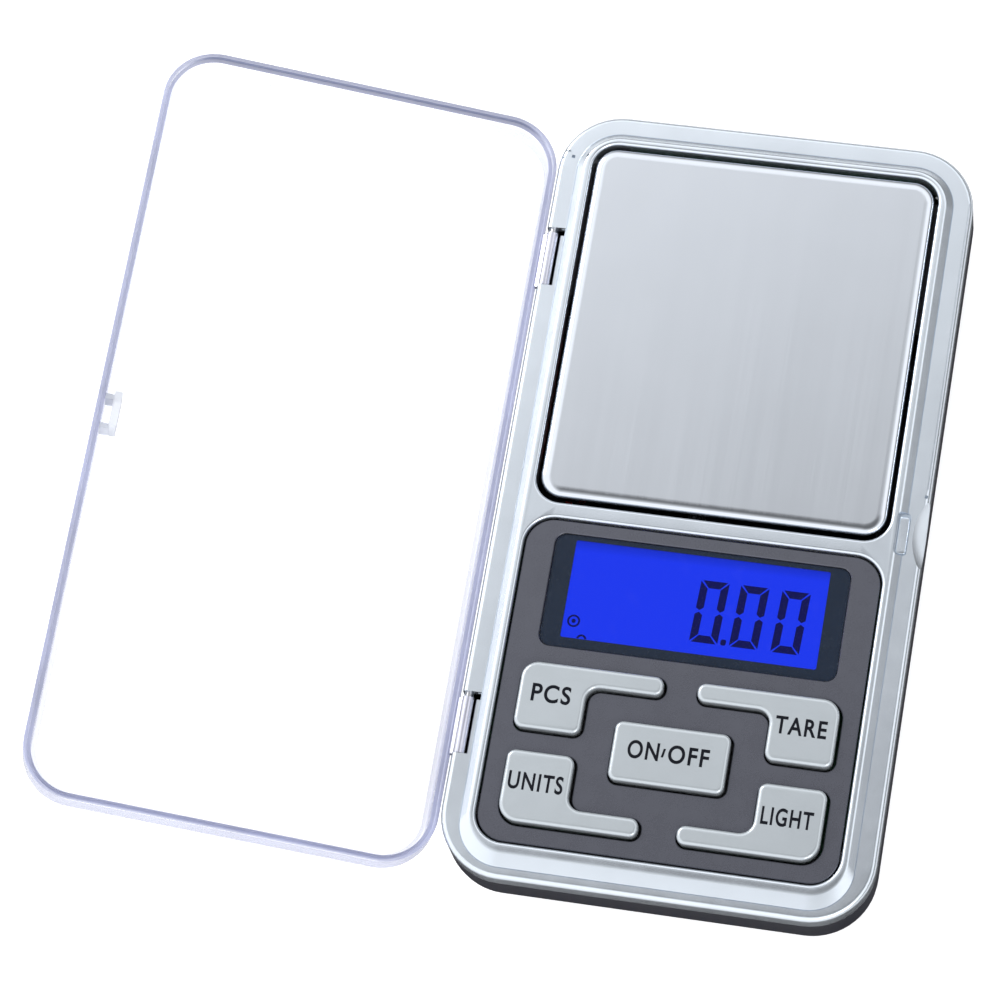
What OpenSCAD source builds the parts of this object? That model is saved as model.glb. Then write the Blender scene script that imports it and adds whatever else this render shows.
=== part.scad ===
// Pocket gram scale with a hinged clear lid.
// X is the width, Y runs from the keypad end to the platform end and Z is up. The lid hinges along
// the left side and is drawn open. The modules work from the middle of the body, and place() then
// puts the origin in the middle of the whole outline, lid included, on the plane under the feet.

/* [Body] */
// Length of the body over both ends
body_l = 120; // [119:0.5:122]
// Width of the body over both sides
body_w = 63; // [62.5:0.5:65]
// Height of the flat ledge that the closed lid rests over
ledge_z = 14.4; // [14.2:0.1:15]
// Corner radius of the body seen from above
corner_r = 9.5; // [9:0.1:10.5]
// Height of the joint between the upper and the lower casing
parting_z = 11.2; // [10.8:0.1:11.4]
// Radius of the rounded lower edge of the casing
lower_round = 6; // [5.5:0.1:6.5]
// Wall thickness of both casings
wall = 1.4; // [1.2:0.1:1.5]

/* [Raised bead] */
// Height of the bead above the ledge
bead_h = 0.8; // [0.6:0.1:1]
// Half width of the bead at its foot
bead_half_w = 28.5; // [28.2:0.1:28.6]
// Far end of the bead's foot
bead_far_y = 57; // [56.8:0.1:57.2]
// Near end of the bead's foot
bead_near_y = -58.4; // [-58.5:0.1:-58]

/* [Weighing platform] */
// Width of the steel plate
plate_w = 51; // [50:0.2:51.2]
// Length of the steel plate
plate_l = 55.8; // [55:0.2:56]
// Middle of the plate along the body
plate_y = 26.4; // [26.2:0.1:26.6]
// Height of the plate's top above the ledge
plate_rise = 0.9; // [0.7:0.1:1.1]
// Corner radius of the plate
plate_r = 3.4; // [3:0.1:4]

/* [Panel and keys] */
// Half width of the fascia panel
panel_half_w = 26.4; // [26.3:0.1:26.5]
// Far edge of the panel
panel_far_y = -5.2; // [-5.3:0.1:-5.1]
// Near edge of the panel
panel_near_y = -54.85; // [-54.95:0.05:-54.75]
// Height that the keys stand above the panel
key_rise = 0.9; // [0.8:0.1:1.1]
// How far a key can be pressed
key_travel = 0.6; // [0.4:0.1:0.6]

/* [Display] */
// Width of the display window
lens_w = 43.4; // [43:0.1:43.6]
// Length of the display window
lens_l = 17.1; // [17:0.1:17.3]
// Middle of the display window along the body
lens_y = -16; // [-16.1:0.05:-15.9]

/* [Lid] */
// Angle of the lid above the horizontal when it is open
lid_rest_deg = 14.2; // [12:0.1:16]
// Height of the closed lid
lid_h = 5.5; // [5:0.1:6]
// Wall thickness of the lid
lid_wall = 1.1; // [1:0.05:1.2]
// Diameter of the hinge pins
pin_d = 1; // [0.9:0.05:1.1]

/* [Battery door] */
// Half width of the battery door
door_half_w = 24; // [23.5:0.1:24.2]
// Near edge of the battery door
door_near_y = 33; // [32.9:0.1:33.3]

/* [Hidden] */

$fn = 64;
arc_steps = 8;
tiny = 0.01;
half_w = body_w / 2;
half_l = body_l / 2;
base_z = 0.5;
floor_t = 1.2;
floor_z = base_z + floor_t;
ledge_round = 0.8;
ledge_t = 1.5;

// Bead and openings in the upper casing
bead_z = ledge_z + bead_h;
bead_slope_w = 1.3;
bead_r = 6.4;
mouth_round = 0.45;
plate_gap = 0.78;
open_half_w = plate_w / 2 + plate_gap;
open_far_y = plate_y + plate_l / 2 + 0.72;
open_near_y = plate_y - plate_l / 2 - 1.36;
open_r = 3.9;
panel_z = bead_z - 0.5;
panel_t = 0.8;
panel_r = 4.4;
panel_fit = 0.08;
panel_lip_w = 1.3;
panel_lip_t = 1;

// Screw bosses
boss_r = 2.6;
case_seat_z = floor_z + 1.4;
case_screw_r = 0.85;
case_screw_play = 0.3;
case_head_r = 1.8;
beam_seat_z = floor_z + 0.4;
boss_split_z = 6.1;
thread_fit = 0.02;
head_fit = 0.1;
case_screw_at = [[-26.2, -49.2], [26.2, -49.2], [-27.3, 28.2], [27.3, 28.2]];
pcb_screw_at = [[-24.3, -39.25], [24.3, -39.25], [-23.8, -7.4], [23.8, -7.4]];
pcb_boss_r = 1.5;
pcb_screw_r = 0.75;

// Feet
foot_r = 4;
foot_seat = 0.5;
foot_round = 0.4;
label_depth = 0.16;
label_t = 0.1;
foot_at = [[-20, -47], [20, -47], [-21.4, 22], [21.4, 22]];

// Circuit board, display stack and keypad
pcb_z = 7.8;
pcb_t = 1;
pcb_top = pcb_z + pcb_t;
pcb_half_w = 26;
pcb_far_y = -5.3;
pcb_near_y = -53;
panel_under = panel_z - panel_t;
lens_t = 0.75;
lens_recess = 0.5;
lens_r = 2.2;
window_half_w = 19.6;
window_half_l = 7.7;
lens_top = panel_z - lens_recess + lens_t;
glass_z = 11.5;
glass_t = 1.8;
glass_half_w = 21;
glass_half_l = 9.2;
carrier_wall = 1;
carrier_gap = 0.15;
zebra_w = 1.8;

// Keys
key_gap = 0.18;
key_top = panel_z + key_rise;
key_flange_gap = 0.12;
key_flange_t = 0.7;
key_flange_w = 0.55;
key_stem_r = 2.5;
key_block_x = [13.5, 23.2];
key_tail_x = 2.5;
key_upper_y = [-37.5, -27.5];
key_lower_y = [-51.6, -41];
key_tail_l = 2.8;
key_r = 1.4;
key_web_r = 1.8;
on_off_half_w = 8.4;
on_off_y = [-43.6, -34.7];
pad_r = 2.6;
pad_z = pcb_top + key_travel + 0.12;
stem_end_z = pad_z + 0.9;
mat_t = 0.6;
mat_hole_r = 3.3;
key_stem_at = [[-18.35, -32.5], [18.35, -32.5], [-18.35, -45.8], [18.35, -45.8], [0, -39.15]];

// Weighing system
plate_top = ledge_z + plate_rise;
plate_t = 0.5;
plate_skirt = 2.3;
plate_edge_r = 1.15;
deck_z = 12.9;
deck_half_w = 23.4;
beam_l = 45;
beam_w = 9;
beam_h = 6;
beam_y = 14;
beam_z = 4.2;
beam_end_l = 12;
flexure_r = 2.3;
flexure_x = 6.5;
flexure_slit = 0.3;
tip_x = beam_l / 2 - beam_end_l / 2;
beam_screw_dx = 3;
m3_r = 1.5;
m3_head_r = 2.75;
spacer_t = 0.8;

// Batteries
cell_r = 5.25;
cell_l = 43.7;
cell_nub_l = 0.8;
cell_nub_r = 1.9;
cell_z = 7.15;
cell_front_y = 39.4;
cell_back_y = 50.2;
bay_half_w = 25.6;
bay_near_y = 32.6;
bay_h = 9.6;
lead_slot_z = 7.6;
contact_t = 0.35;
contact_x = 24.9;
spring_turns = 3;
spring_wire_r = 0.3;
spring_r = 2.7;
lead_r = 0.5;
door_gap = 0.15;
door_hook_t = 0.6;

// Lid and hinge
axis_x = -half_w + 0.95;
axis_z = ledge_z - 0.85;
lid_under = ledge_z + 0.1;
lid_x = [axis_x + 1.07, half_w - 0.4];
lid_y = [-60, 57.9];
lid_r = 8;
lid_lip_t = 0.55;
lid_lip_h = 1;
barrel_r = 1;
barrel_bore = pin_d / 2 + 0.05;
recess_y = [[31.3, 40.7], [-42.4, -33]];
recess_floor = parting_z + 0.8;
recess_x = axis_x + 1.3;
knuckle_l = 8.5;
knuckle_shift = -0.35;
pin_reach = 2.4;
hinge_block_over = 3.6;
hinge_block_w = 2.8;
latch_y = -1;
latch_l = 6.6;
latch_x = [27, 29.1];
latch_depth = 1;
tab_l = 5.4;
tab_x = [27.5, 28.7];
tab_reach = 0.7;
scoop_y = -0.75;
scoop_r = 10.77;
scoop_x = half_w + 8;
scoop_z = ledge_z + 4;

// Middle of the whole outline with the lid open
lid_crown = 0.9;
lid_far = [lid_x[1] - lid_crown - axis_x, lid_under + lid_h - lid_crown - axis_z];
open_x = axis_x - lid_crown - lid_far[0] * cos(lid_rest_deg) - lid_far[1] * sin(lid_rest_deg);
origin_x = -(open_x + half_w) / 2;

black = "#1c1c20";
silver = "#c3cbd2";
steel = "#b9bdc2";
clear = [0.8, 0.83, 0.95, 0.35];

// ---------- shared shapes ----------

// Moves a node from the body's own middle to the middle of the whole outline
module place() {
    translate([origin_x, 0, 0])
        children();
}

// Points of an arc about a centre, from angle a0 to a1
function arc(centre, r, a0, a1) =
    [for (i = [0:arc_steps]) let (a = a0 + (a1 - a0) * i / arc_steps) centre + r * [cos(a), sin(a)]];

// A rounded rectangle from the low corner to the high corner
module rounded(low, high, r) {
    translate([low[0] + r, low[1]])
        square([high[0] - low[0] - 2 * r, high[1] - low[1]]);
    translate([low[0], low[1] + r])
        square([high[0] - low[0], high[1] - low[1] - 2 * r]);
    for (x = [low[0] + r, high[0] - r], y = [low[1] + r, high[1] - r])
        translate([x, y])
            circle(r);
}

module rounded_block(low, high, r, z0, z1) {
    translate([0, 0, z0])
        linear_extrude(z1 - z0)
            rounded(low, high, r);
}

// Carries a profile round a rounded rectangle. The profile's x is the distance outward from the
// centres of the corner arcs, and its y is height.
module swept(low, high, r) {
    c = [[high[0] - r, high[1] - r], [low[0] + r, high[1] - r], [low[0] + r, low[1] + r], [high[0] - r, low[1] + r]];
    for (i = [0:3]) {
        straight = norm(c[i] - c[(i + 3) % 4]);
        translate([c[i][0], c[i][1], 0])
            rotate([0, 0, 90 * i]) {
                rotate_extrude(angle = 90)
                    children();
                rotate([90, 0, 0])
                    linear_extrude(straight)
                        children();
            }
    }
}

// A solid with the profile as its edge all round
module swept_solid(low, high, r, z0, z1) {
    swept(low, high, r)
        children();
    translate([low[0] + r, low[1] + r, z0])
        cube([high[0] - low[0] - 2 * r, high[1] - low[1] - 2 * r, z1 - z0]);
}

// A slab whose upper edge is rounded by e
module crowned_slab(low, high, r, z0, z1, e) {
    swept_solid(low, high, r, z0, z1)
        polygon(concat([[0, z0], [r, z0]], arc([r - e, z1 - e], e, 0, 90), [[0, z1]]));
}

// A slab whose lower edge is rounded by e
module bowl_slab(low, high, r, z0, z1, e) {
    swept_solid(low, high, r, z0, z1)
        polygon(concat([[0, z0]], arc([r - e, z0 + e], e, -90, 0), [[r, z1], [0, z1]]));
}

// The tool that rounds the rim of an opening: it removes a concave quarter round of radius e
module rim_round(low, high, r, z, e) {
    swept(low, high, r)
        polygon(concat([[r - tiny, z + tiny], [r - tiny, z - e]], arc([r + e, z - e], e, 180, 90), [[r + e, z + tiny]]));
}

module screw(r, head_r, head_t, length, z) {
    translate([0, 0, z])
        cylinder(r = r, h = length);
    translate([0, 0, z])
        difference() {
            cylinder(r = head_r, h = head_t);
            for (a = [0, 90])
                rotate([0, 0, a])
                    translate([-head_r * 0.55, -0.25, -tiny])
                        cube([head_r * 1.1, 0.5, head_t * 0.5]);
        }
}

// A wire swept along a list of points as one tube with eight sides. Its cross-section is turned
// from the direction ref, which must not lie along the wire.
module wire(points, r, ref = [0.31, 0.17, 0.93]) {
    n = len(points);
    sides = 8;
    unit = function (v) v / norm(v);
    rings = [
        for (i = [0:n - 1])
            let (
                along = unit(points[min(i + 1, n - 1)] - points[max(i - 1, 0)]),
                across = unit(cross(along, ref)),
                up = cross(across, along)
            )
            for (k = [0:sides - 1])
                points[i] + r * (cos(360 * k / sides) * across + sin(360 * k / sides) * up)
    ];
    skin = [
        for (i = [0:n - 2], k = [0:sides - 1])
            let (next = (k + 1) % sides)
            [i * sides + k, i * sides + next, (i + 1) * sides + next, (i + 1) * sides + k]
    ];
    start = [for (k = [sides - 1:-1:0]) k];
    end = [for (k = [0:sides - 1]) (n - 1) * sides + k];
    polyhedron(rings, concat(skin, [start, end]));
}

// ---------- casings ----------

module bottom_case() {
    low = [-half_w, -half_l];
    high = [half_w, half_l];
    inset = [wall, wall];
    place() color(black) {
        difference() {
            bowl_slab(low, high, corner_r, base_z, parting_z - 0.06, lower_round);
            bowl_slab(low + inset, high - inset, corner_r - wall, floor_z, parting_z + 1, lower_round - wall);
            battery_door_space();
            for (p = foot_at)
                translate([p[0], p[1], 0])
                    cylinder(r = foot_r + 0.05, h = base_z + foot_seat);
            for (p = case_screw_at)
                translate([p[0], p[1], 0])
                    case_screw_hole();
            for (dx = [-beam_screw_dx, beam_screw_dx])
                translate([-tip_x + dx, beam_y, 0])
                    cylinder(r = m3_head_r + head_fit, h = beam_seat_z);
            label_recess();
        }
        // The bosses stop inside the wall where the casing's lower edge curves up under them
        difference() {
            intersection() {
                for (p = case_screw_at)
                    translate([p[0], p[1], floor_z - tiny])
                        cylinder(r = boss_r, h = boss_split_z - 0.1 - floor_z);
                bowl_slab(low + inset / 2, high - inset / 2, corner_r - wall / 2, base_z + wall / 2, parting_z,
                    lower_round - wall / 2);
            }
            for (p = case_screw_at)
                translate([p[0], p[1], 0])
                    case_screw_hole();
        }
        beam_seat();
        bay_walls();
    }
}

// Recess for a screw's head and the clear hole above it
module case_screw_hole() {
    cylinder(r = case_head_r + head_fit, h = case_seat_z);
    cylinder(r = case_screw_r + case_screw_play, h = boss_split_z + 1);
}

// Pedestal that holds the fixed end of the load cell
module beam_seat() {
    translate([-beam_l / 2 - 1, beam_y - beam_w / 2 - 1, floor_z - tiny])
        difference() {
            cube([beam_end_l + 1, beam_w + 2, beam_z - spacer_t - floor_z + tiny]);
            for (dx = [-beam_screw_dx, beam_screw_dx])
                translate([beam_end_l / 2 + 1 + dx, beam_w / 2 + 1, -floor_z]) {
                    cylinder(r = m3_head_r + head_fit, h = beam_seat_z + tiny);
                    cylinder(r = m3_r + head_fit, h = beam_z);
                }
        }
}

// Upright walls round the battery bay, with a slot at the left for the leads
module bay_walls() {
    difference() {
        translate([-bay_half_w - 1, bay_near_y - 1.2, floor_z - tiny])
            cube([2 * bay_half_w + 2, 1.2, bay_h]);
        translate([-bay_half_w + 0.1, bay_near_y - 2, lead_slot_z])
            cube([2.3, 3, bay_h]);
    }
    for (side = [-1, 1])
        translate([side * (bay_half_w + 0.5) - 0.5, bay_near_y - tiny, floor_z - tiny])
            cube([1, 20, bay_h]);
}

module label_recess() {
    rounded_block([-18, -36], [18, -8], 1.5, 0, base_z + label_depth);
}

module rating_label() {
    place() color("#8d9198")
        rounded_block([-17.8, -35.8], [17.8, -8.2], 1.3, base_z + label_depth - label_t, base_z + label_depth);
}

module rubber_feet() {
    place() color("#2a2a2c")
        for (p = foot_at)
            translate([p[0], p[1], 0])
                rotate_extrude()
                    polygon(concat(
                        [[0, 0]],
                        arc([foot_r - foot_round, foot_round], foot_round, -90, 0),
                        [[foot_r, base_z + foot_seat], [0, base_z + foot_seat]]
                    ));
}

module top_frame() {
    low = [-half_w, -half_l];
    high = [half_w, half_l];
    inset = [wall, wall];
    place() color(silver)
        difference() {
            union() {
                difference() {
                    crowned_slab(low, high, corner_r, parting_z, ledge_z, ledge_round);
                    rounded_block(low + inset, high - inset, corner_r - wall, parting_z - 1, ledge_z - ledge_t);
                }
                bead();
                frame_underside();
            }
            platform_opening();
            panel_opening();
            for (y = recess_y)
                hinge_recess(y);
            latch_pocket();
            translate([scoop_x, scoop_y, scoop_z])
                sphere(scoop_r);
            for (p = case_screw_at)
                translate([p[0], p[1], 0])
                    cylinder(r = case_screw_r, h = 13);
            for (p = pcb_screw_at)
                translate([p[0], p[1], pcb_z])
                    cylinder(r = pcb_screw_r, h = 4.6);
        }
}

module bead() {
    low = [-bead_half_w, bead_near_y];
    high = [bead_half_w, bead_far_y];
    slope = [for (i = [0:arc_steps])
        [bead_r - bead_slope_w * i / arc_steps, ledge_z + bead_h * (1 - cos(180 * i / arc_steps)) / 2]];
    swept_solid(low, high, bead_r, ledge_z - ledge_t, bead_z)
        polygon(concat([[0, ledge_z - ledge_t], [bead_r, ledge_z - ledge_t]], slope, [[0, bead_z]]));
}

// Lip under the panel, walls round the platform opening, hinge blocks, bosses and the lower tongue
module frame_underside() {
    inner = [half_w - wall - 0.12, half_l - wall - 0.12];
    lip_low = [-panel_half_w - 1.2, panel_near_y - 1.2];
    lip_high = [panel_half_w + 1.2, panel_far_y + 1.2];
    rounded_block(lip_low, lip_high, panel_r + 1.2, panel_under - panel_lip_t, ledge_z - 0.2);
    rounded_block([-open_half_w - 1.1, open_near_y - 1.1], [open_half_w + 1.1, open_far_y + 1.1], open_r + 1.1,
        ledge_z - ledge_t - 1, ledge_z - 0.2);
    difference() {
        rounded_block(-inner, inner, corner_r - wall - 0.12, parting_z - 1.4, parting_z + 1.2);
        rounded_block(-inner + [0.8, 0.8], inner - [0.8, 0.8], corner_r - wall - 0.92, parting_z - 2, ledge_z);
    }
    for (y = recess_y)
        translate([-half_w + wall - tiny, y[0] - hinge_block_over, parting_z])
            cube([hinge_block_w, y[1] - y[0] + 2 * hinge_block_over, ledge_z - parting_z - 0.3]);
    for (p = case_screw_at)
        translate([p[0], p[1], boss_split_z])
            cylinder(r = 2.2, h = ledge_z - 0.4 - boss_split_z);
    for (p = pcb_screw_at)
        translate([p[0], p[1], pcb_top])
            cylinder(r = pcb_boss_r, h = ledge_z - pcb_top - 1);
}

module platform_opening() {
    low = [-open_half_w, open_near_y];
    high = [open_half_w, open_far_y];
    rounded_block(low, high, open_r, 0, bead_z + 1);
    rim_round(low, high, open_r, bead_z, mouth_round);
}

module panel_opening() {
    low = [-panel_half_w, panel_near_y];
    high = [panel_half_w, panel_far_y];
    lip = [panel_lip_w, panel_lip_w];
    difference() {
        rounded_block(low + lip, high - lip, panel_r - 1, 0, bead_z);
        for (p = pcb_screw_at)
            translate([p[0], p[1], pcb_top - 1])
                cylinder(r = pcb_boss_r, h = panel_under - pcb_top + 1);
    }
    rounded_block(low, high, panel_r, panel_under, bead_z + 1);
    rim_round(low, high, panel_r, bead_z, mouth_round);
}

// Slot in the ledge for a lid knuckle, open to the side, with the bore of its pin
module hinge_recess(y) {
    translate([-half_w - 1, y[0], recess_floor])
        cube([recess_x + half_w + 1, y[1] - y[0], ledge_z]);
    translate([-half_w - 1, y[0], ledge_z - 0.35])
        cube([half_w - bead_half_w + 1, y[1] - y[0], ledge_z]);
    translate([axis_x, y[0] - pin_reach, axis_z])
        rotate([-90, 0, 0])
            cylinder(r = pin_d / 2, h = y[1] - y[0] + 2 * pin_reach);
}

module latch_pocket() {
    translate([latch_x[0], latch_y - latch_l / 2, ledge_z - latch_depth])
        cube([latch_x[1] - latch_x[0], latch_l, latch_depth + bead_h + 1]);
}

// ---------- panel and display ----------

module face_panel() {
    low = [-panel_half_w + panel_fit, panel_near_y + panel_fit];
    high = [panel_half_w - panel_fit, panel_far_y - panel_fit];
    lens_half = [lens_w / 2, lens_l / 2];
    lens_c = [0, lens_y];
    place() color("#606068")
        difference() {
            rounded_block(low, high, panel_r - panel_fit, panel_under, panel_z);
            translate([0, 0, panel_z - lens_recess])
                linear_extrude(1)
                    rounded(lens_c - lens_half - [0.1, 0.1], lens_c + lens_half + [0.1, 0.1], lens_r + 0.1);
            translate([0, 0, panel_under - 1])
                linear_extrude(3)
                    rounded([-window_half_w, lens_y - window_half_l], [window_half_w, lens_y + window_half_l], 1);
            translate([0, 0, panel_under - 1])
                linear_extrude(3) {
                    for (side = [-1, 1], upper = [true, false])
                        corner_key_outline(side, upper, key_gap);
                    on_off_outline(key_gap);
                }
        }
}

module lcd_lens() {
    half = [lens_w / 2, lens_l / 2];
    low = [0, lens_y] - half;
    high = [0, lens_y] + half;
    place() color([0.14, 0.19, 0.25, 0.6])
        swept_solid(low, high, lens_r, panel_z - lens_recess, lens_top)
            polygon([
                [0, panel_z - lens_recess], [lens_r, panel_z - lens_recess], [lens_r, lens_top - 0.2],
                [lens_r - 0.2, lens_top], [0, lens_top]
            ]);
}

module lcd_gasket() {
    place() color("#26262a")
        difference() {
            rounded_block([-glass_half_w, lens_y - glass_half_l], [glass_half_w, lens_y + glass_half_l], 1,
                glass_z + glass_t, panel_under);
            rounded_block([-window_half_w, lens_y - window_half_l], [window_half_w, lens_y + window_half_l], 1,
                glass_z, ledge_z);
        }
}

module lcd_glass() {
    place() color("#2033e8") {
        translate([-glass_half_w, lens_y - glass_half_l, glass_z])
            cube([2 * glass_half_w, 2 * glass_half_l, glass_t / 2]);
        translate([-glass_half_w, lens_y - glass_half_l + 2, glass_z + glass_t / 2])
            cube([2 * glass_half_w, 2 * glass_half_l - 2, glass_t / 2]);
    }
}

module lcd_carrier() {
    inner = [glass_half_w + carrier_gap, glass_half_l + carrier_gap];
    outer = inner + [carrier_wall, carrier_wall];
    place() color("#d8d8d4")
        translate([0, lens_y, 0])
            difference() {
                translate([-outer[0], -outer[1], pcb_top])
                    cube([2 * outer[0], 2 * outer[1], panel_under - panel_lip_t - 0.1 - pcb_top]);
                translate([-inner[0], -inner[1], pcb_top - 1])
                    cube([2 * inner[0], 2 * inner[1], ledge_z]);
            }
}

module lcd_backlight() {
    place() color("#e6ecff")
        translate([-glass_half_w + 0.3, lens_y - glass_half_l + zebra_w + 0.6, pcb_top])
            cube([2 * glass_half_w - 0.6, 2 * glass_half_l - zebra_w - 0.9, glass_z - pcb_top]);
}

module zebra_connector() {
    place() color("#a85a78")
        translate([-glass_half_w + 1.5, lens_y - glass_half_l + 0.1, pcb_top])
            cube([2 * glass_half_w - 3, zebra_w, glass_z - pcb_top]);
}

module main_pcb() {
    place() color("#1f6a3a")
        difference() {
            translate([-pcb_half_w, pcb_near_y, pcb_z])
                cube([2 * pcb_half_w, pcb_far_y - pcb_near_y, pcb_t]);
            for (p = case_screw_at)
                translate([p[0], p[1], 0])
                    cylinder(r = boss_r + 0.5, h = 20);
            for (p = pcb_screw_at)
                translate([p[0], p[1], 0])
                    cylinder(r = 0.95, h = 20);
        }
}

module chip(size, legs, pitch) {
    place() color("#202024")
        translate([-size[0] / 2, -size[1] / 2, 0])
            cube(size);
    place() color("#c9c9c9")
        for (i = [0:legs - 1], side = [-1, 1])
            translate([(i - (legs - 1) / 2) * pitch - 0.15, side * (size[1] / 2 + 0.4) - 0.45, size[2] - 0.3])
                cube([0.3, 0.9, 0.3]);
}

module controller_chip() {
    translate([2, -16, pcb_z - 1.6])
        chip([12, 8, 1.6], 12, 0.8);
}

module adc_chip() {
    translate([-14, -14, pcb_z - 1.5])
        chip([6, 4, 1.5], 6, 0.8);
}

module crystal() {
    place() color("#c8ccd0")
        translate([14, -16, pcb_z - 1.7])
            linear_extrude(1.7)
                rounded([-3.2, -1.5], [3.2, 1.5], 1.45);
}

module pcb_capacitors() {
    place() color("#b89a6a")
        for (x = [-20, -16, 12, 17], y = [-28, -32])
            translate([x - 0.9, y - 0.5, pcb_z - 0.8])
                cube([1.8, 1, 0.8]);
}

module pcb_screws() {
    place() color(steel)
        for (p = pcb_screw_at)
            translate([p[0], p[1], 0])
                screw(pcb_screw_r - thread_fit, 1.5, 0.9, 4.4, pcb_z - 0.9);
}

// ---------- keys ----------

// Outline of one of the four corner keys: a block with a tail that points to the middle.
// Grow widens it on every side.
module corner_key_outline(side, upper, grow) {
    y = upper ? key_upper_y : key_lower_y;
    x0 = key_block_x[0] - grow;
    x1 = key_block_x[1] + grow;
    tail = [key_tail_x - grow, upper ? y[1] - key_tail_l - grow : y[0] - grow];
    tail_high = tail + [x1 - tail[0], key_tail_l + 2 * grow];
    web_y = upper ? tail[1] : tail_high[1];
    web_dy = upper ? -key_web_r : key_web_r;
    mirror([side < 0 ? 1 : 0, 0]) {
        rounded([x0, y[0] - grow], [x1, y[1] + grow], key_r + grow);
        rounded(tail, [x1, tail_high[1]], key_tail_l / 2 + grow - tiny);
        difference() {
            translate([x0 - key_web_r, min(web_y, web_y + web_dy)])
                square([key_web_r + key_r + 0.5, key_web_r]);
            translate([x0 - key_web_r, web_y + web_dy])
                circle(key_web_r);
        }
        translate([x0, (y[0] + y[1]) / 2 - 1.5])
            square([2, 3]);
    }
}

module on_off_outline(grow) {
    rounded([-on_off_half_w - grow, on_off_y[0] - grow], [on_off_half_w + grow, on_off_y[1] + grow], key_r + grow);
}

// The cap of a key from its outline, the flange that keeps it under the panel, and its stem
module key_body(stem) {
    flange_top = panel_under - key_flange_gap;
    place() color("#c9cfd6") {
        translate([0, 0, flange_top - tiny])
            linear_extrude(key_top - flange_top + tiny)
                children(0);
        translate([0, 0, flange_top - key_flange_t])
            linear_extrude(key_flange_t)
                children(1);
        translate([stem[0], stem[1], stem_end_z])
            cylinder(r = key_stem_r, h = flange_top - key_flange_t - stem_end_z + tiny);
    }
}

module key_pcs() {
    key_body(key_stem_at[0]) {
        corner_key_outline(-1, true, 0);
        corner_key_outline(-1, true, key_flange_w);
    }
}

module key_tare() {
    key_body(key_stem_at[1]) {
        corner_key_outline(1, true, 0);
        corner_key_outline(1, true, key_flange_w);
    }
}

module key_units() {
    key_body(key_stem_at[2]) {
        corner_key_outline(-1, false, 0);
        corner_key_outline(-1, false, key_flange_w);
    }
}

module key_light() {
    key_body(key_stem_at[3]) {
        corner_key_outline(1, false, 0);
        corner_key_outline(1, false, key_flange_w);
    }
}

module key_on_off() {
    key_body(key_stem_at[4]) {
        on_off_outline(0);
        on_off_outline(key_flange_w);
    }
}

// Conductive pad under a key's stem
module pad(at) {
    place() color("#2b2b2e")
        translate([at[0], at[1], pad_z])
            cylinder(r = pad_r, h = stem_end_z - pad_z);
}

module pad_pcs() {
    pad(key_stem_at[0]);
}

module pad_tare() {
    pad(key_stem_at[1]);
}

module pad_units() {
    pad(key_stem_at[2]);
}

module pad_light() {
    pad(key_stem_at[3]);
}

module pad_on_off() {
    pad(key_stem_at[4]);
}

// Silicone sheet on the circuit board with a clear hole round each pad
module keypad_mat() {
    place() color("#5d6166")
        difference() {
            translate([-22.6, -52, pcb_top])
                cube([45.2, 24.6, mat_t]);
            for (p = key_stem_at)
                translate([p[0], p[1], pcb_top - 1])
                    cylinder(r = mat_hole_r, h = 3);
        }
}

// ---------- weighing system ----------

module platform_plate() {
    half = [plate_w / 2, plate_l / 2];
    low = [0, plate_y] - half;
    high = [0, plate_y] + half;
    skin = [plate_t, plate_t];
    place() color(steel)
        difference() {
            crowned_slab(low, high, plate_r, plate_top - plate_skirt, plate_top, plate_edge_r);
            crowned_slab(low + skin, high - skin, plate_r - plate_t, plate_top - plate_skirt - 1,
                plate_top - plate_t, plate_edge_r - plate_t);
        }
}

// Deck under the plate, stiffening ribs and the pedestal on the beam's free end
module platform_bracket() {
    deck_top = plate_top - plate_t;
    low = [-deck_half_w, plate_y - plate_l / 2 + 2];
    high = [deck_half_w, plate_y + plate_l / 2 - 2];
    place() color("#33343a")
        difference() {
            union() {
                rounded_block(low, high, 3, deck_z + 0.8, deck_top);
                translate([-deck_half_w + 2, beam_y - 7, deck_z])
                    cube([2 * deck_half_w - 4, 14, 1]);
                translate([tip_x - beam_end_l / 2 + 1, beam_y - beam_w / 2, beam_z + beam_h])
                    cube([beam_end_l - 1, beam_w, deck_z - beam_z - beam_h + tiny]);
            }
            for (dx = [-beam_screw_dx, beam_screw_dx])
                translate([tip_x + dx + 0.5, beam_y, 0]) {
                    cylinder(r = m3_r, h = 20);
                    translate([0, 0, deck_z])
                        cylinder(r = m3_head_r + 0.1, h = 5);
                }
        }
}

module bracket_screws() {
    place() color(steel)
        for (dx = [-beam_screw_dx, beam_screw_dx])
            translate([tip_x + dx + 0.5, beam_y, 0])
                mirror([0, 0, 1])
                    screw(m3_r - thread_fit, m3_head_r, 1.4, 6.6, -deck_z - 1.4);
}

module load_cell() {
    slit_x = beam_l / 2 - beam_end_l;
    place() color("#c6c9cc")
        difference() {
            translate([-beam_l / 2, beam_y - beam_w / 2, beam_z])
                cube([beam_l / 2 + slit_x - flexure_slit, beam_w, beam_h]);
            for (x = [-flexure_x, flexure_x])
                translate([x, beam_y - beam_w, beam_z + beam_h / 2])
                    rotate([-90, 0, 0])
                        cylinder(r = flexure_r, h = 2 * beam_w);
            translate([-flexure_x, beam_y - beam_w, beam_z + beam_h / 2 - 0.6])
                cube([2 * flexure_x, 2 * beam_w, 1.2]);
            for (dx = [-beam_screw_dx, beam_screw_dx])
                translate([-tip_x + dx, beam_y, beam_z - 1])
                    cylinder(r = m3_r, h = beam_h + 2);
        }
}

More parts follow.
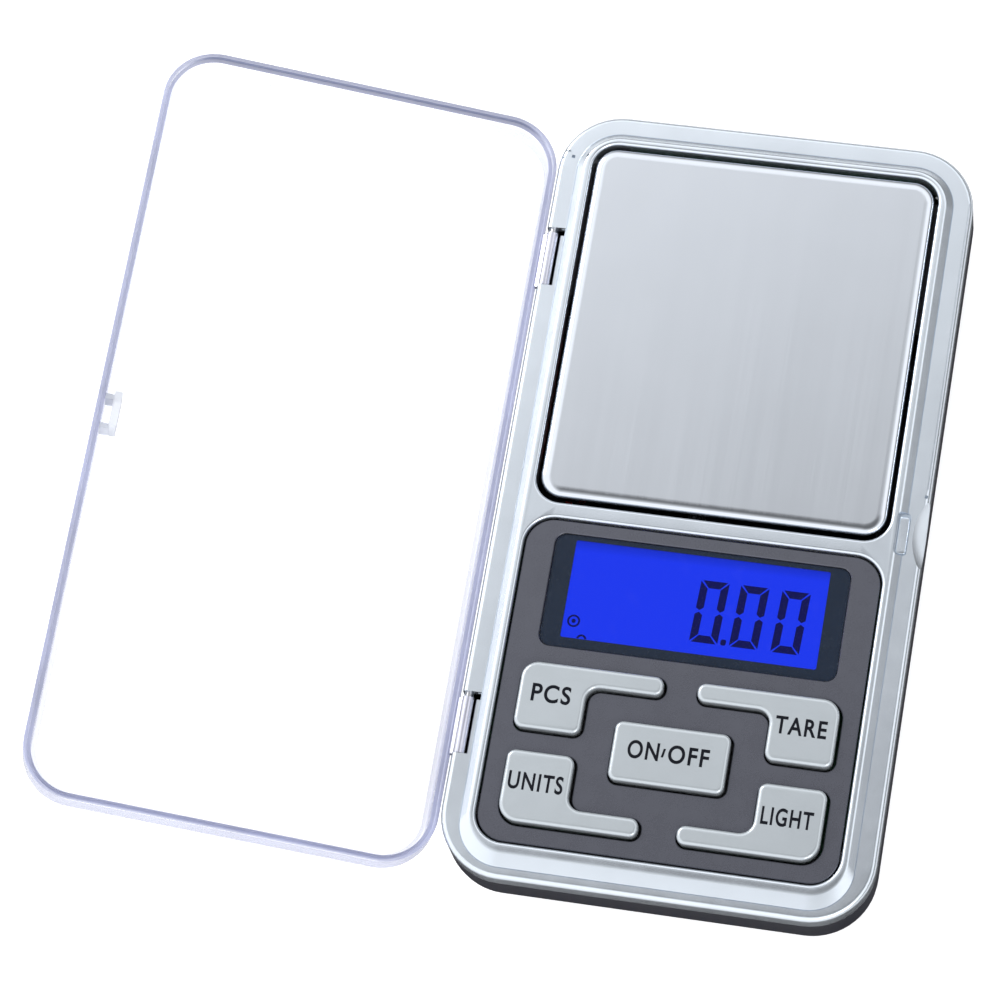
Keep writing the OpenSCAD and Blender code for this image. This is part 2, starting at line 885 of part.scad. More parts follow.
module load_cell_free_end() {
    slit_x = beam_l / 2 - beam_end_l;
    place() color("#c6c9cc")
        difference() {
            translate([slit_x, beam_y - beam_w / 2, beam_z])
                cube([beam_end_l, beam_w, beam_h]);
            for (dx = [-beam_screw_dx, beam_screw_dx])
                translate([tip_x + dx + 0.5, beam_y, beam_z - 1])
                    cylinder(r = m3_r, h = beam_h + 2);
        }
}

module load_cell_spacer() {
    place() color("#8f9398")
        difference() {
            translate([-beam_l / 2, beam_y - beam_w / 2, beam_z - spacer_t])
                cube([beam_end_l, beam_w, spacer_t]);
            for (dx = [-beam_screw_dx, beam_screw_dx])
                translate([-tip_x + dx, beam_y, 0])
                    cylinder(r = m3_r + 0.1, h = 20);
        }
}

module load_cell_screws() {
    place() color(steel)
        for (dx = [-beam_screw_dx, beam_screw_dx])
            translate([-tip_x + dx, beam_y, 0])
                screw(m3_r - thread_fit, m3_head_r, 1.4, 8, beam_seat_z - 1.4);
}

module strain_gauges() {
    place() color("#d9c27a")
        for (x = [-flexure_x, flexure_x])
            translate([x - 2.4, beam_y - 2.2, beam_z + beam_h])
                cube([4.8, 4.4, 0.3]);
}

module load_cell_cable() {
    place() color("#d0d0d0")
        for (i = [0:3])
            wire([
                [-4 + 0.7 * i, beam_y - 2.6, beam_z + beam_h + 0.35],
                [-4 + 0.7 * i, beam_y - 5.6, beam_z + beam_h + 0.5],
                [-4 + 0.7 * i, beam_y - 8, 6.2],
                [-4 + 0.7 * i, -2, 5.2],
                [-4 + 0.7 * i, -8, 6],
                [-4 + 0.7 * i, -10, pcb_z - 0.32]
            ], 0.3);
}

// ---------- batteries ----------

// An AAA cell lying across the body with its positive end towards dir
module battery_cell(y, dir) {
    place() translate([0, y, cell_z])
        mirror([dir < 0 ? 1 : 0, 0, 0])
            rotate([0, 90, 0]) {
                color("#3d6b4f")
                    translate([0, 0, -cell_l / 2 - cell_nub_l / 2])
                        cylinder(r = cell_r, h = cell_l);
                color(steel)
                    translate([0, 0, cell_l / 2 - cell_nub_l / 2 - tiny])
                        cylinder(r = cell_nub_r, h = cell_nub_l + tiny);
            }
}

module battery_cell_front() {
    battery_cell(cell_front_y, 1);
}

module battery_cell_back() {
    battery_cell(cell_back_y, -1);
}

// Conical springs on the negative ends, wound from the contact plate in to the cell
module battery_springs() {
    gap = contact_x - cell_l / 2 - cell_nub_l / 2 - 2 * spring_wire_r - 0.04;
    steps = 14;
    place() color(steel)
        for (end = [[cell_front_y, -1], [cell_back_y, 1]])
            wire([
                for (i = [0:spring_turns * steps])
                    let (
                        part = i / (spring_turns * steps),
                        a = 360 * i / steps,
                        r = spring_r - 1.1 * part
                    )
                    [
                        end[1] * (contact_x - spring_wire_r - 0.02 - gap * part),
                        end[0] + r * cos(a),
                        cell_z + r * sin(a)
                    ]
            ], spring_wire_r, [1, 0, 0]);
}

// Spring-steel plates that the cells touch: one links both cells, the other two carry the leads
module battery_plates() {
    place() color(steel) {
        translate([contact_x, cell_front_y - 3.4, cell_z - 4])
            cube([contact_t, cell_back_y - cell_front_y + 6.8, 8]);
        for (y = [cell_front_y, cell_back_y])
            translate([-contact_x - contact_t, y - 3.4, cell_z - 4])
                cube([contact_t, 6.8, 8]);
        for (end = [[cell_front_y, 1], [cell_back_y, -1]])
            translate([end[1] * contact_x, end[0], cell_z])
                rotate([0, -90 * end[1], 0])
                    cylinder(r1 = 2.6, r2 = 1.2, h = contact_x - cell_l / 2 - cell_nub_l / 2);
    }
}

module battery_lead_positive() {
    place() color("#b02020")
        wire([
            [-25.07, cell_back_y, cell_z + 4.5],
            [-25, 47, 11.9],
            [-25, 36, 11.9],
            [-25, 33.5, 11.2],
            [-24.7, 31, 10.6],
            [-24.5, 28, 8.6],
            [-24.9, 24, 5.9],
            [-24.9, 8, 5.3],
            [-21, -3, 5.8],
            [-18, -9, pcb_z - 0.52]
        ], lead_r);
}

module battery_lead_negative() {
    place() color("#222224")
        wire([
            [-25.07, cell_front_y - 3.4, 8.4],
            [-25, 34.2, 8.5],
            [-24.7, 31, 8.5],
            [-23.6, 28, 6.4],
            [-24.8, 24, 4.2],
            [-24.8, 8, 3.9],
            [-16, -4, 5.6],
            [-14, -9, pcb_z - 0.52]
        ], lead_r);
}

// The space cut out of the lower casing for the door, its hooks and its slide
module battery_door_space() {
    translate([-door_half_w - door_gap, door_near_y - door_gap, -1])
        cube([2 * (door_half_w + door_gap), half_l, 1 + 4.4 + door_gap]);
}

// The door is a slice of the casing's own floor and rounded far edge, with four inner hooks
module battery_door() {
    low = [-half_w, -half_l];
    high = [half_w, half_l];
    inset = [wall, wall];
    place() color(black) {
        intersection() {
            difference() {
                bowl_slab(low, high, corner_r, base_z, parting_z, lower_round);
                bowl_slab(low + inset, high - inset, corner_r - wall, floor_z - 0.1, parting_z + 1, lower_round - wall);
            }
            translate([-door_half_w, door_near_y, 0])
                cube([2 * door_half_w, half_l, 4.4]);
        }
        for (side = [-1, 1], y = [36, 44]) {
            translate([side * (door_half_w - 0.7) - 0.7, y, floor_z - 0.2])
                cube([1.4, 3, 0.2 + door_gap + door_hook_t]);
            translate([side * door_half_w - 0.7, y, floor_z + door_gap])
                cube([1.4, 3, door_hook_t]);
        }
        for (i = [0:4])
            translate([-6, door_near_y + 2 + 1.4 * i, base_z - 0.25])
                cube([12, 0.6, 0.3]);
    }
}

module case_screws() {
    place() color(steel)
        for (p = case_screw_at)
            translate([p[0], p[1], 0])
                screw(case_screw_r - thread_fit, case_head_r, 1.2, 9, case_seat_z - 1.2);
}

// ---------- lid ----------

// The lid is drawn closed over the body and then turned to its open rest position
module lid() {
    place() color(clear)
        lid_turn()
            lid_closed();
}

module lid_turn() {
    translate([axis_x, 0, axis_z])
        rotate([0, -(180 - lid_rest_deg), 0])
            translate([-axis_x, 0, -axis_z])
                children();
}

module lid_closed() {
    low = [lid_x[0], lid_y[0]];
    high = [lid_x[1], lid_y[1]];
    w = [lid_wall, lid_wall];
    lip = [lid_lip_t, lid_lip_t];
    top = lid_under + lid_h;
    difference() {
        union() {
            difference() {
                crowned_slab(low, high, lid_r, lid_under, top, lid_crown);
                crowned_slab(low + w, high - w, lid_r - lid_wall, lid_under - 1, top - lid_wall, 0.5);
                rounded_block(low + lip, high - lip, lid_r - lid_lip_t, lid_under - 1, lid_under + lid_lip_h);
            }
            for (y = recess_y)
                knuckle((y[0] + y[1]) / 2 + knuckle_shift);
            latch_tab();
        }
        for (y = recess_y)
            translate([axis_x, y[0] - 2, axis_z])
                rotate([-90, 0, 0])
                    cylinder(r = barrel_bore, h = y[1] - y[0] + 4);
    }
}

// Barrel round the pin and the arm that carries it from the lid's wall
module knuckle(y) {
    translate([axis_x, y - knuckle_l / 2, axis_z])
        rotate([-90, 0, 0])
            cylinder(r = barrel_r, h = knuckle_l);
    translate([0, y + knuckle_l / 2, 0])
        rotate([90, 0, 0])
            linear_extrude(knuckle_l)
                polygon([
                    [axis_x + 0.2, axis_z + 0.9], [axis_x + 0.95, axis_z + 0.2], [lid_x[0] + 0.55, lid_under + 0.05],
                    [lid_x[0] + 0.55, lid_under + 1.1], [lid_x[0], lid_under + 1.1]
                ]);
}

// Tab that snaps into the pocket in the bead
module latch_tab() {
    translate([tab_x[0], latch_y - 0.3 - tab_l / 2, lid_under - tab_reach])
        cube([tab_x[1] - tab_x[0], tab_l, lid_h + tab_reach - 0.5]);
    for (y = [latch_y - 0.3 - tab_l / 2, latch_y - 0.3 + tab_l / 2 - 0.8])
        translate([tab_x[0], y, lid_under + lid_lip_h])
            cube([lid_x[1] - tab_x[0] - 0.5, 0.8, lid_h - lid_lip_h - 0.5]);
}

module hinge_pins() {
    place() color(steel)
        for (y = recess_y)
            translate([axis_x, y[0] - pin_reach, axis_z])
                rotate([-90, 0, 0])
                    cylinder(r = pin_d / 2, h = y[1] - y[0] + 2 * pin_reach);
}

bottom_case();
top_frame();
face_panel();
lcd_lens();
lcd_gasket();
lcd_glass();
lcd_carrier();
lcd_backlight();
zebra_connector();
main_pcb();
controller_chip();
adc_chip();
crystal();
pcb_capacitors();
pcb_screws();
keypad_mat();
key_pcs();
key_tare();
key_units();
key_light();
key_on_off();
pad_pcs();
pad_tare();
pad_units();
pad_light();
pad_on_off();
platform_plate();
platform_bracket();
bracket_screws();
load_cell();
load_cell_free_end();
load_cell_spacer();
load_cell_screws();
strain_gauges();
load_cell_cable();
battery_cell_front();
battery_cell_back();
battery_springs();
battery_plates();
battery_lead_positive();
battery_lead_negative();
battery_door();
case_screws();
rubber_feet();
rating_label();
lid();
hinge_pins();
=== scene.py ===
"""Looks of the pocket gram scale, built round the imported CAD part."""

import math

import bmesh
import bpy
from mathutils import Matrix, Vector
from mathutils.geometry import tessellate_polygon


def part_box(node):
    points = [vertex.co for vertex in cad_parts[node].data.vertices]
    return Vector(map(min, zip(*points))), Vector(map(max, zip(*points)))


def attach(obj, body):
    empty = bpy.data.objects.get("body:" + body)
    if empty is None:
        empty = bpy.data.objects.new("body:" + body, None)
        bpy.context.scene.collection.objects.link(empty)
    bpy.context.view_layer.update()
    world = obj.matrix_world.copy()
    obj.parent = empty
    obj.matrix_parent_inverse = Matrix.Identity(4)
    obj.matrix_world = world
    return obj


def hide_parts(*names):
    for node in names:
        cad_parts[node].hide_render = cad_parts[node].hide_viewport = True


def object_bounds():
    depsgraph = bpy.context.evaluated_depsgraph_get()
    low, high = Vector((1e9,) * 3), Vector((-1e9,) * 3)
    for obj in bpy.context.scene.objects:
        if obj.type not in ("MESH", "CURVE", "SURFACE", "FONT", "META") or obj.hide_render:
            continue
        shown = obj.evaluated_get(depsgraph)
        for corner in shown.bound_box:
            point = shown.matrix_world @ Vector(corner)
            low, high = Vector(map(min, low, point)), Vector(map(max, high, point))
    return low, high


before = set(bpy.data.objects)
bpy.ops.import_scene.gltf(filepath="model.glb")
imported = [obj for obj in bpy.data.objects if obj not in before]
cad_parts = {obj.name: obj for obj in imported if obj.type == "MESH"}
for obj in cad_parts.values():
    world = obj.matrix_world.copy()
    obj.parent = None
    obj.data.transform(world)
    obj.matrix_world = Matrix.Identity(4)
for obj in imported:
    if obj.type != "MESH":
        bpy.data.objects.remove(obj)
cad_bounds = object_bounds()

MM = 0.001
CASE_LOW, CASE_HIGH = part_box("bottom_case")
MID_X = (CASE_LOW.x + CASE_HIGH.x) / 2 / MM
HALF_W = (CASE_HIGH.x - CASE_LOW.x) / 2 / MM
HALF_L = (CASE_HIGH.y - CASE_LOW.y) / 2 / MM

# Casing heights and rims, in millimetres from the middle of the body
CORNER_R = 9.5
PARTING_Z = 11.2
PARTING_BEVEL = 0.12
SKIN_T = 1.4
LEDGE_Z = 14.4
LEDGE_ROUND = 0.8
BEAD_Z = 15.2
BEAD_LOW = (-28.5, -58.4)
BEAD_HIGH = (28.5, 57.0)
BEAD_R = 6.4
BEAD_TOP_LOW = (-27.3, -55.9)
BEAD_TOP_HIGH = (27.3, 55.9)
BEAD_TOP_R = 5.2
BEAD_SLOPE = ((0.0, -0.15), (0.02, 0.03), (0.76, 0.8), (0.88, 0.91), (1.0, 0.97), (1.14, 1.0))
BEAD_GROOVE = 0.1
MOUTH_ROUND = 0.45
SKIN_UNDER_Z = 12.9
MOUTH_UNDER_Z = 11.9
OPEN_LOW = (-26.28, -2.86)
OPEN_HIGH = (26.28, 55.02)
OPEN_R = 3.9
PANEL_LOW = (-26.4, -54.85)
PANEL_HIGH = (26.4, -5.2)
PANEL_R = 4.4
PANEL_Z = 14.7
PANEL_UNDER_Z = 13.9
PANEL_GAP = 0.28
KEY_TOP_Z = 15.6

# Hinge, latch and thumb scoop
AXIS_X = -30.55
AXIS_Z = 13.55
RECESS_Y = ((31.3, 40.7), (-42.4, -33.0))
RECESS_X = BEAD_LOW[0] - BEAD_GROOVE - 0.02
RECESS_FLOOR_Z = 12.0
# The cutters reach past the casing to here
CUT_LEFT = -40
CUT_TOP_Z = 20
RAIL_X = -29.35
RAIL_Z = 13.75
LATCH_LOW = (27.15, -4.3, 13.3)
LATCH_HIGH = (29.2, 2.3, 17.0)
LATCH_SEAT_LOW = (27.35, -3.85, 13.2)
LATCH_SEAT_HIGH = (29.0, 2.05, 13.75)
SIDE_GROOVE = ((30.8, 6.2, 14.05), (31.0, 52.0, 17.0))
SCOOP_AT = (39.5, -0.75, 18.4)
SCOOP_R = 10.6
MOULD_PITS = (
    ((30.6, 4.9), (31.05, 5.4)),
    ((-29.65, 52.3), (-29.15, 52.8)),
    ((-27.25, 52.5), (-26.95, 53.0)),
    ((-31.0, 53.3), (-29.9, 53.5)),
    ((-31.7, 52.1), (-30.7, 52.35)),
)

# Lid, as it sits when closed
LID_OPEN_DEG = 14.2
LID_LOW = (-29.48, -60.0)
LID_HIGH = (31.1, 57.9)
LID_R = 8.0
LID_UNDER_Z = 14.5
LID_TOP_Z = 20.0
LID_WALL = 1.1
LID_ROUND = 0.9
LID_HOLLOW_R = 0.6
LID_STEP_W = 0.55
LID_STEP_H = 1.0
KNUCKLE_L = 8.5
KNUCKLE_BORE_R = 0.55
KNUCKLE_R = 0.85
KNUCKLE_SHIFT_Y = -0.35
CATCH_Y = (-4.0, 1.4)
CATCH_RIB_T = 0.8


# ---------- outlines ----------

# The smallest corner radius that an inset outline keeps
LEAST_R = 0.05


def arc(cx, cy, r, a0, a1, steps):
    """Points along an arc, both ends included."""
    turns = [math.radians(a0 + (a1 - a0) * i / steps) for i in range(steps + 1)]
    return [(cx + r * math.cos(a), cy + r * math.sin(a)) for a in turns]


def rounded(low, high, r, steps=12):
    """A rounded rectangle, anticlockwise."""
    left, right = low[0] + r, high[0] - r
    near, far = low[1] + r, high[1] - r
    corners = ((right, far), (left, far), (left, near), (right, near))
    points = []
    for i, (cx, cy) in enumerate(corners):
        points += arc(cx, cy, r, 90 * i, 90 * i + 90, steps)
    return points


def inset_rounded(low, high, r, inset, steps=12):
    """The same rectangle moved in by inset on every side."""
    low = (low[0] + inset, low[1] + inset)
    high = (high[0] - inset, high[1] - inset)
    return rounded(low, high, max(r - inset, LEAST_R), steps)


def filleted(corners, steps=8):
    """An outline with its corners (x, y, radius) rounded, inner corners included."""
    points = []
    count = len(corners)
    for i, (x, y, r) in enumerate(corners):
        here = Vector((x, y))
        back = (Vector(corners[i - 1][:2]) - here).normalized()
        on = (Vector(corners[(i + 1) % count][:2]) - here).normalized()
        half = back.angle(on) / 2
        reach = r / math.tan(half)
        centre = here + (back + on).normalized() * r / math.sin(half)
        start = here + back * reach - centre
        end = here + on * reach - centre
        sweep = start.angle_signed(end)
        for k in range(steps + 1):
            turn = Matrix.Rotation(-sweep * k / steps, 2)
            points.append(tuple(centre + turn @ start))
    return points


def offset(points, d):
    """Moves an anticlockwise outline outward by d."""
    moved = []
    count = len(points)
    for i, p in enumerate(points):
        before = Vector(p) - Vector(points[i - 1])
        after = Vector(points[(i + 1) % count]) - Vector(p)
        if before.length < 1e-6:
            before = after
        if after.length < 1e-6:
            after = before
        across = Vector((before.y, -before.x)).normalized() + Vector((after.y, -after.x)).normalized()
        normal = across.normalized()
        moved.append((p[0] + normal.x * d, p[1] + normal.y * d))
    return moved


def mirrored(points):
    """The outline on the other side of the body, still anticlockwise."""
    return [(-x, y) for x, y in reversed(points)]


# ---------- meshes ----------


class Skin:
    """Collects the rings and faces of one piece, in millimetres from the middle of the body."""

    def __init__(self):
        self.verts = []
        self.faces = []
        self.slots = []
        self.slot = 0

    def ring(self, points, z):
        start = len(self.verts)
        self.verts += [(p[0], p[1], z) for p in points]
        return list(range(start, len(self.verts)))

    def band(self, a, b):
        count = len(a)
        for i in range(count):
            k = (i + 1) % count
            self.face((a[i], a[k], b[k], b[i]))

    def face(self, corners):
        self.faces.append(corners)
        self.slots.append(self.slot)

    def cap(self, *rings):
        """A flat face bounded by the first ring, with the others as holes."""
        index = [i for ring in rings for i in ring]
        loops = [[Vector(self.verts[i]) for i in ring] for ring in rings]
        for tri in tessellate_polygon(loops):
            self.face(tuple(index[i] for i in tri))

    def chain(self, rings):
        for a, b in zip(rings, rings[1:]):
            self.band(a, b)


def smooth(mesh, angle=35):
    mesh.polygons.foreach_set("use_smooth", [True] * len(mesh.polygons))
    mesh.set_sharp_from_angle(angle=math.radians(angle))


def piece(name, skin, materials, body, angle=35, turn=None):
    """Makes the object of a skin, in metres and in the part's frame, and lets it ride on its body."""
    mesh = bpy.data.meshes.new(name)
    mesh.from_pydata([Vector(v) * MM for v in skin.verts], [], skin.faces)
    for material in materials:
        mesh.materials.append(material)
    mesh.polygons.foreach_set("material_index", skin.slots)
    bm = bmesh.new()
    bm.from_mesh(mesh)
    bmesh.ops.remove_doubles(bm, verts=bm.verts, dist=1e-7)
    bmesh.ops.recalc_face_normals(bm, faces=bm.faces)
    bm.to_mesh(mesh)
    bm.free()
    if turn:
        mesh.transform(turn)
    mesh.transform(Matrix.Translation((MID_X * MM, 0, 0)))
    smooth(mesh, angle)
    obj = bpy.data.objects.new(name, mesh)
    bpy.context.scene.collection.objects.link(obj)
    if body:
        weigh(obj)
        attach(obj, body)
    return obj


def weigh(obj):
    """Keeps flat faces flat where they meet a rounded edge."""
    modifier = obj.modifiers.new("flat faces", "WEIGHTED_NORMAL")
    modifier.keep_sharp = True


def boolean(obj, tool, operation):
    """Cuts or joins a tool at once, and drops the tool."""
    modifier = obj.modifiers.new("cut", "BOOLEAN")
    modifier.operation = operation
    modifier.solver = "EXACT"
    modifier.object = tool
    bpy.context.view_layer.update()
    result = bpy.data.meshes.new_from_object(obj.evaluated_get(bpy.context.evaluated_depsgraph_get()))
    obj.modifiers.remove(modifier)
    obj.data = result
    bpy.data.objects.remove(tool)


def block(low, high, r=0.15, skin=None):
    """A rounded cutter or lug between two corners."""
    skin = skin or Skin()
    outline = rounded(low, high, r, 4)
    rings = [skin.ring(outline, low[2]), skin.ring(outline, high[2])]
    skin.chain(rings)
    skin.cap(rings[0])
    skin.cap(rings[1])
    return skin


def tool(skin, turn=None):
    return piece("tool", skin, [], None, turn=turn)


# ---------- materials ----------

COAT_ROUGH = 0.12


def ramp(tree, source, low, high, dark, light):
    """Maps a grey between low and high to a grey between dark and light."""
    node = tree.nodes.new("ShaderNodeMapRange")
    node.inputs["From Min"].default_value = low
    node.inputs["From Max"].default_value = high
    node.inputs["To Min"].default_value = dark
    node.inputs["To Max"].default_value = light
    tree.links.new(source, node.inputs["Value"])
    return node.outputs["Result"]


def noise(tree, place, scale, detail=3.0, stretch=(1, 1, 1)):
    """Noise whose scale is in features per millimetre."""
    mapping = tree.nodes.new("ShaderNodeMapping")
    mapping.inputs["Scale"].default_value = [scale * s / MM for s in stretch]
    tree.links.new(place, mapping.inputs["Vector"])
    node = tree.nodes.new("ShaderNodeTexNoise")
    node.inputs["Scale"].default_value = 1.0
    node.inputs["Detail"].default_value = detail
    tree.links.new(mapping.outputs["Vector"], node.inputs["Vector"])
    return node.outputs["Fac"]


def along_body(tree, place, start, stop):
    """0 to 1 as a point goes from start to stop along the body, in millimetres."""
    split = tree.nodes.new("ShaderNodeSeparateXYZ")
    tree.links.new(place, split.inputs[0])
    return ramp(tree, split.outputs["Y"], start * MM, stop * MM, 0.0, 1.0)


def blended(tree, factor, color, other):
    """A colour that turns into another as the factor rises."""
    mix = tree.nodes.new("ShaderNodeMix")
    mix.data_type = "RGBA"
    tree.links.new(factor, mix.inputs["Factor"])
    tree.links.new(color, mix.inputs[6])
    mix.inputs[7].default_value = (*other, 1)
    return mix.outputs[2]


def polish_edges(tree, shader, rough, streaks):
    """Makes the surface glossy where it turns down, with a ragged line where the brush marks end."""
    split = tree.nodes.new("ShaderNodeSeparateXYZ")
    tree.links.new(tree.nodes.new("ShaderNodeNewGeometry").outputs["Normal"], split.inputs[0])
    ragged = tree.nodes.new("ShaderNodeMath")
    ragged.operation = "MULTIPLY_ADD"
    ragged.inputs[1].default_value = 0.02
    tree.links.new(streaks, ragged.inputs[0])
    tree.links.new(split.outputs["Z"], ragged.inputs[2])
    mix = tree.nodes.new("ShaderNodeMix")
    tree.links.new(ramp(tree, ragged.outputs[0], 0.99, 1.006, 0.0, 1.0), mix.inputs["Factor"])
    mix.inputs["A"].default_value = 0.09
    tree.links.new(rough, mix.inputs["B"])
    tree.links.new(mix.outputs["Result"], shader.inputs["Roughness"])


def surface(
    name, color, rough, metal=0.0, coat=0.0, mottle=0.06, grain=6.0, grain_h=0.01, stretch=(1, 1, 1),
    wear=0.12, wear_color=None, alpha=1.0, glow=None, specular=0.5, painted_shade=None, polish=False,
):
    """A procedural material: mottled colour, uneven gloss, fine grain in the surface and light wear, and painted
    shade along the body where asked.
    """
    material = bpy.data.materials.new(name)
    material.use_nodes = True
    tree = material.node_tree
    shader = tree.nodes["Principled BSDF"]
    place = tree.nodes.new("ShaderNodeTexCoord").outputs["Object"]

    cloud = noise(tree, place, 0.12, 4.0)
    fine = noise(tree, place, grain, 3.0, stretch)
    patches = noise(tree, place, 0.35, 6.0, stretch)

    shade = ramp(tree, cloud, 0.3, 0.7, 1 - mottle, 1 + mottle)
    tint = tree.nodes.new("ShaderNodeMix")
    tint.data_type = "RGBA"
    tint.blend_type = "MULTIPLY"
    tint.inputs["Factor"].default_value = 1.0
    tint.inputs[6].default_value = (*color, 1)
    tree.links.new(shade, tint.inputs[7])

    worn = tree.nodes.new("ShaderNodeMix")
    worn.data_type = "RGBA"
    worn.inputs[7].default_value = (*(wear_color or [c * 0.8 + 0.05 for c in color]), 1)
    tree.links.new(tint.outputs[2], worn.inputs[6])
    tree.links.new(ramp(tree, patches, 0.62, 0.75, 0.0, wear), worn.inputs["Factor"])
    tree.links.new(worn.outputs[2], shader.inputs["Base Color"])
    shader.inputs["Alpha"].default_value = alpha
    # Painted shade: the colour darkens toward the shade colour and the alpha changes between two places along the
    # body.
    if painted_shade:
        toward = along_body(tree, place, *painted_shade[:2])
        tree.links.new(blended(tree, toward, worn.outputs[2], painted_shade[2]), shader.inputs["Base Color"])
        tree.links.new(ramp(tree, toward, 0, 1, alpha, painted_shade[3]), shader.inputs["Alpha"])

    gloss = tree.nodes.new("ShaderNodeMath")
    gloss.operation = "ADD"
    tree.links.new(ramp(tree, patches, 0.35, 0.75, rough * 0.92, min(1, rough * 1.1 + 0.01)), gloss.inputs[0])
    tree.links.new(ramp(tree, fine, 0.3, 0.7, -0.03 * min(1, rough * 4), 0.03), gloss.inputs[1])
    tree.links.new(gloss.outputs[0], shader.inputs["Roughness"])
    if polish:
        polish_edges(tree, shader, gloss.outputs[0], fine)

    bump = tree.nodes.new("ShaderNodeBump")
    bump.inputs["Distance"].default_value = grain_h * MM
    tree.links.new(fine, bump.inputs["Height"])
    tree.links.new(bump.outputs["Normal"], shader.inputs["Normal"])

    shader.inputs["Metallic"].default_value = metal
    shader.inputs["Coat Weight"].default_value = coat
    shader.inputs["Coat Roughness"].default_value = COAT_ROUGH
    shader.inputs["Specular IOR Level"].default_value = specular
    if glow:
        shader.inputs["Emission Color"].default_value = (*glow[:3], 1)
        shader.inputs["Emission Strength"].default_value = glow[3]
    return material


SILVER = surface(
    "silver_lacquer", (0.74, 0.79, 0.85), 0.22, metal=0.9, coat=0.3, mottle=0.03, grain=9.0, grain_h=0.004,
    wear=0.04,
)
BLACK = surface(
    "black_abs", (0.018, 0.018, 0.026), 0.45, grain=5.0, grain_h=0.02, wear=0.2, wear_color=(0.06, 0.06, 0.065)
)
PANEL = surface(
    "panel_grey", (0.115, 0.118, 0.142), 0.28, metal=0.6, coat=0.12, mottle=0.02, grain=12.0, grain_h=0.003,
    wear=0.02,
)
KEY = surface(
    "key_grey", (0.55, 0.59, 0.62), 0.22, metal=0.5, coat=0.3, mottle=0.02, grain=14.0, grain_h=0.003, wear=0.03
)
INK = surface("legend_ink", (0.005, 0.006, 0.01), 0.6, grain=10.0, grain_h=0.003, specular=0.1)
BRUSHED = surface(
    "brushed_steel", (0.715, 0.745, 0.795), 0.22, metal=1.0, mottle=0.01, grain=5.0, grain_h=0.0018,
    stretch=(1, 0.006, 1), wear=0.02, wear_color=(0.6, 0.61, 0.63), polish=True,
)
CLEAR = surface("lid_clear", (0.9, 0.92, 1.0), 0.04, alpha=0.04, mottle=0.01, grain=0.4, grain_h=0.002, wear=0.02)
# Painted refraction: the walls, step, crown, rim and barrel are copies of the clear plastic in its own lavender tint,
# deepened where it is seen edge on.
WALL = surface(
    "lid_wall", (0.56, 0.6, 0.8), 0.06, alpha=0.17, mottle=0.05, grain=0.5, grain_h=0.004, wear=0.05,
    painted_shade=(54.0, -40.0, (0.42, 0.43, 0.57), 0.5),
)
STEP = surface(
    "lid_step_tint_and_painted_refraction", (0.4, 0.43, 0.64), 0.1, alpha=0.6, mottle=0.14, grain=0.5, grain_h=0.01, wear=0.1,
    painted_shade=(54.0, 57.0, (0.1, 0.12, 0.24), 0.9),
)
CROWN = surface("lid_crown", (0.46, 0.5, 0.76), 0.06, alpha=0.4, mottle=0.08, grain=0.5, grain_h=0.006, wear=0.05)
RIM = surface(
    "lid_rim_tint_and_painted_refraction", (0.32, 0.34, 0.52), 0.1, alpha=0.8, mottle=0.14, grain=0.5, grain_h=0.01, wear=0.15, coat=0.5,
    painted_shade=(55.6, 57.6, (0.2, 0.215, 0.34), 0.85),
)
BARREL = surface(
    "lid_barrel_tint_and_painted_refraction", (0.72, 0.72, 0.82), 0.14, metal=0.7, alpha=0.9, mottle=0.1, grain=3.0, grain_h=0.03,
    stretch=(1, 0.04, 1),
)
FROSTED = surface("latch_frost", (0.72, 0.74, 0.8), 0.4, alpha=0.75, grain=4.0, grain_h=0.02)
LENS = surface(
    "lens_clear", (0.02, 0.03, 0.05), 0.05, alpha=0.06, mottle=0.02, grain=0.5, grain_h=0.001, wear=0.03,
    specular=0.2,
)
MASK = surface(
    "lens_mask", (0.012, 0.02, 0.038), 0.25, coat=0.15, mottle=0.05, grain=1.0, grain_h=0.002, specular=0.2
)
LIT = surface(
    "lit_display", (0.005, 0.01, 0.1), 0.3, mottle=0.02, grain=3.0, grain_h=0.001, specular=0.0,
    glow=(0.0085, 0.033, 0.84, 1.0),
)
DIGIT = surface(
    "digit_ink", (0.003, 0.003, 0.03), 0.35, grain=3.0, grain_h=0.001, specular=0.0, glow=(0.004, 0.004, 0.06, 1.0)
)
RUBBER = surface("foot_rubber", (0.03, 0.03, 0.032), 0.75, grain=3.0, grain_h=0.03)
FOIL = surface("label_foil", (0.42, 0.44, 0.46), 0.35, metal=0.6, grain=8.0, grain_h=0.003)
SCREW = surface("zinc", (0.5, 0.5, 0.52), 0.3, metal=1.0, grain=4.0, grain_h=0.01)
BOARD = surface("solder_mask", (0.02, 0.16, 0.07), 0.35, coat=0.3, grain=3.0, grain_h=0.01)
CHIP = surface("chip_epoxy", (0.02, 0.02, 0.022), 0.5, grain=6.0, grain_h=0.01)
MILLED = surface(
    "milled_aluminium", (0.7, 0.71, 0.72), 0.35, metal=1.0, grain=4.0, grain_h=0.006, stretch=(0.1, 1, 1)
)
SLEEVE = surface("cell_sleeve", (0.05, 0.2, 0.1), 0.3, coat=0.3, grain=2.0, grain_h=0.004)
NICKEL = surface("nickel", (0.6, 0.59, 0.56), 0.25, metal=1.0, grain=4.0, grain_h=0.005)
WHITE = surface("white_abs", (0.6, 0.6, 0.57), 0.5, grain=4.0, grain_h=0.01)
SILICONE = surface("silicone", (0.14, 0.15, 0.16), 0.6, grain=4.0, grain_h=0.01)
RED = surface("red_sheath", (0.45, 0.02, 0.02), 0.45, grain=4.0, grain_h=0.01)
FILM = surface("gauge_film", (0.55, 0.4, 0.12), 0.35, coat=0.3, grain=4.0, grain_h=0.004)
PINK = surface("elastomer", (0.35, 0.14, 0.2), 0.6, grain=4.0, grain_h=0.01)


# ---------- silver frame ----------


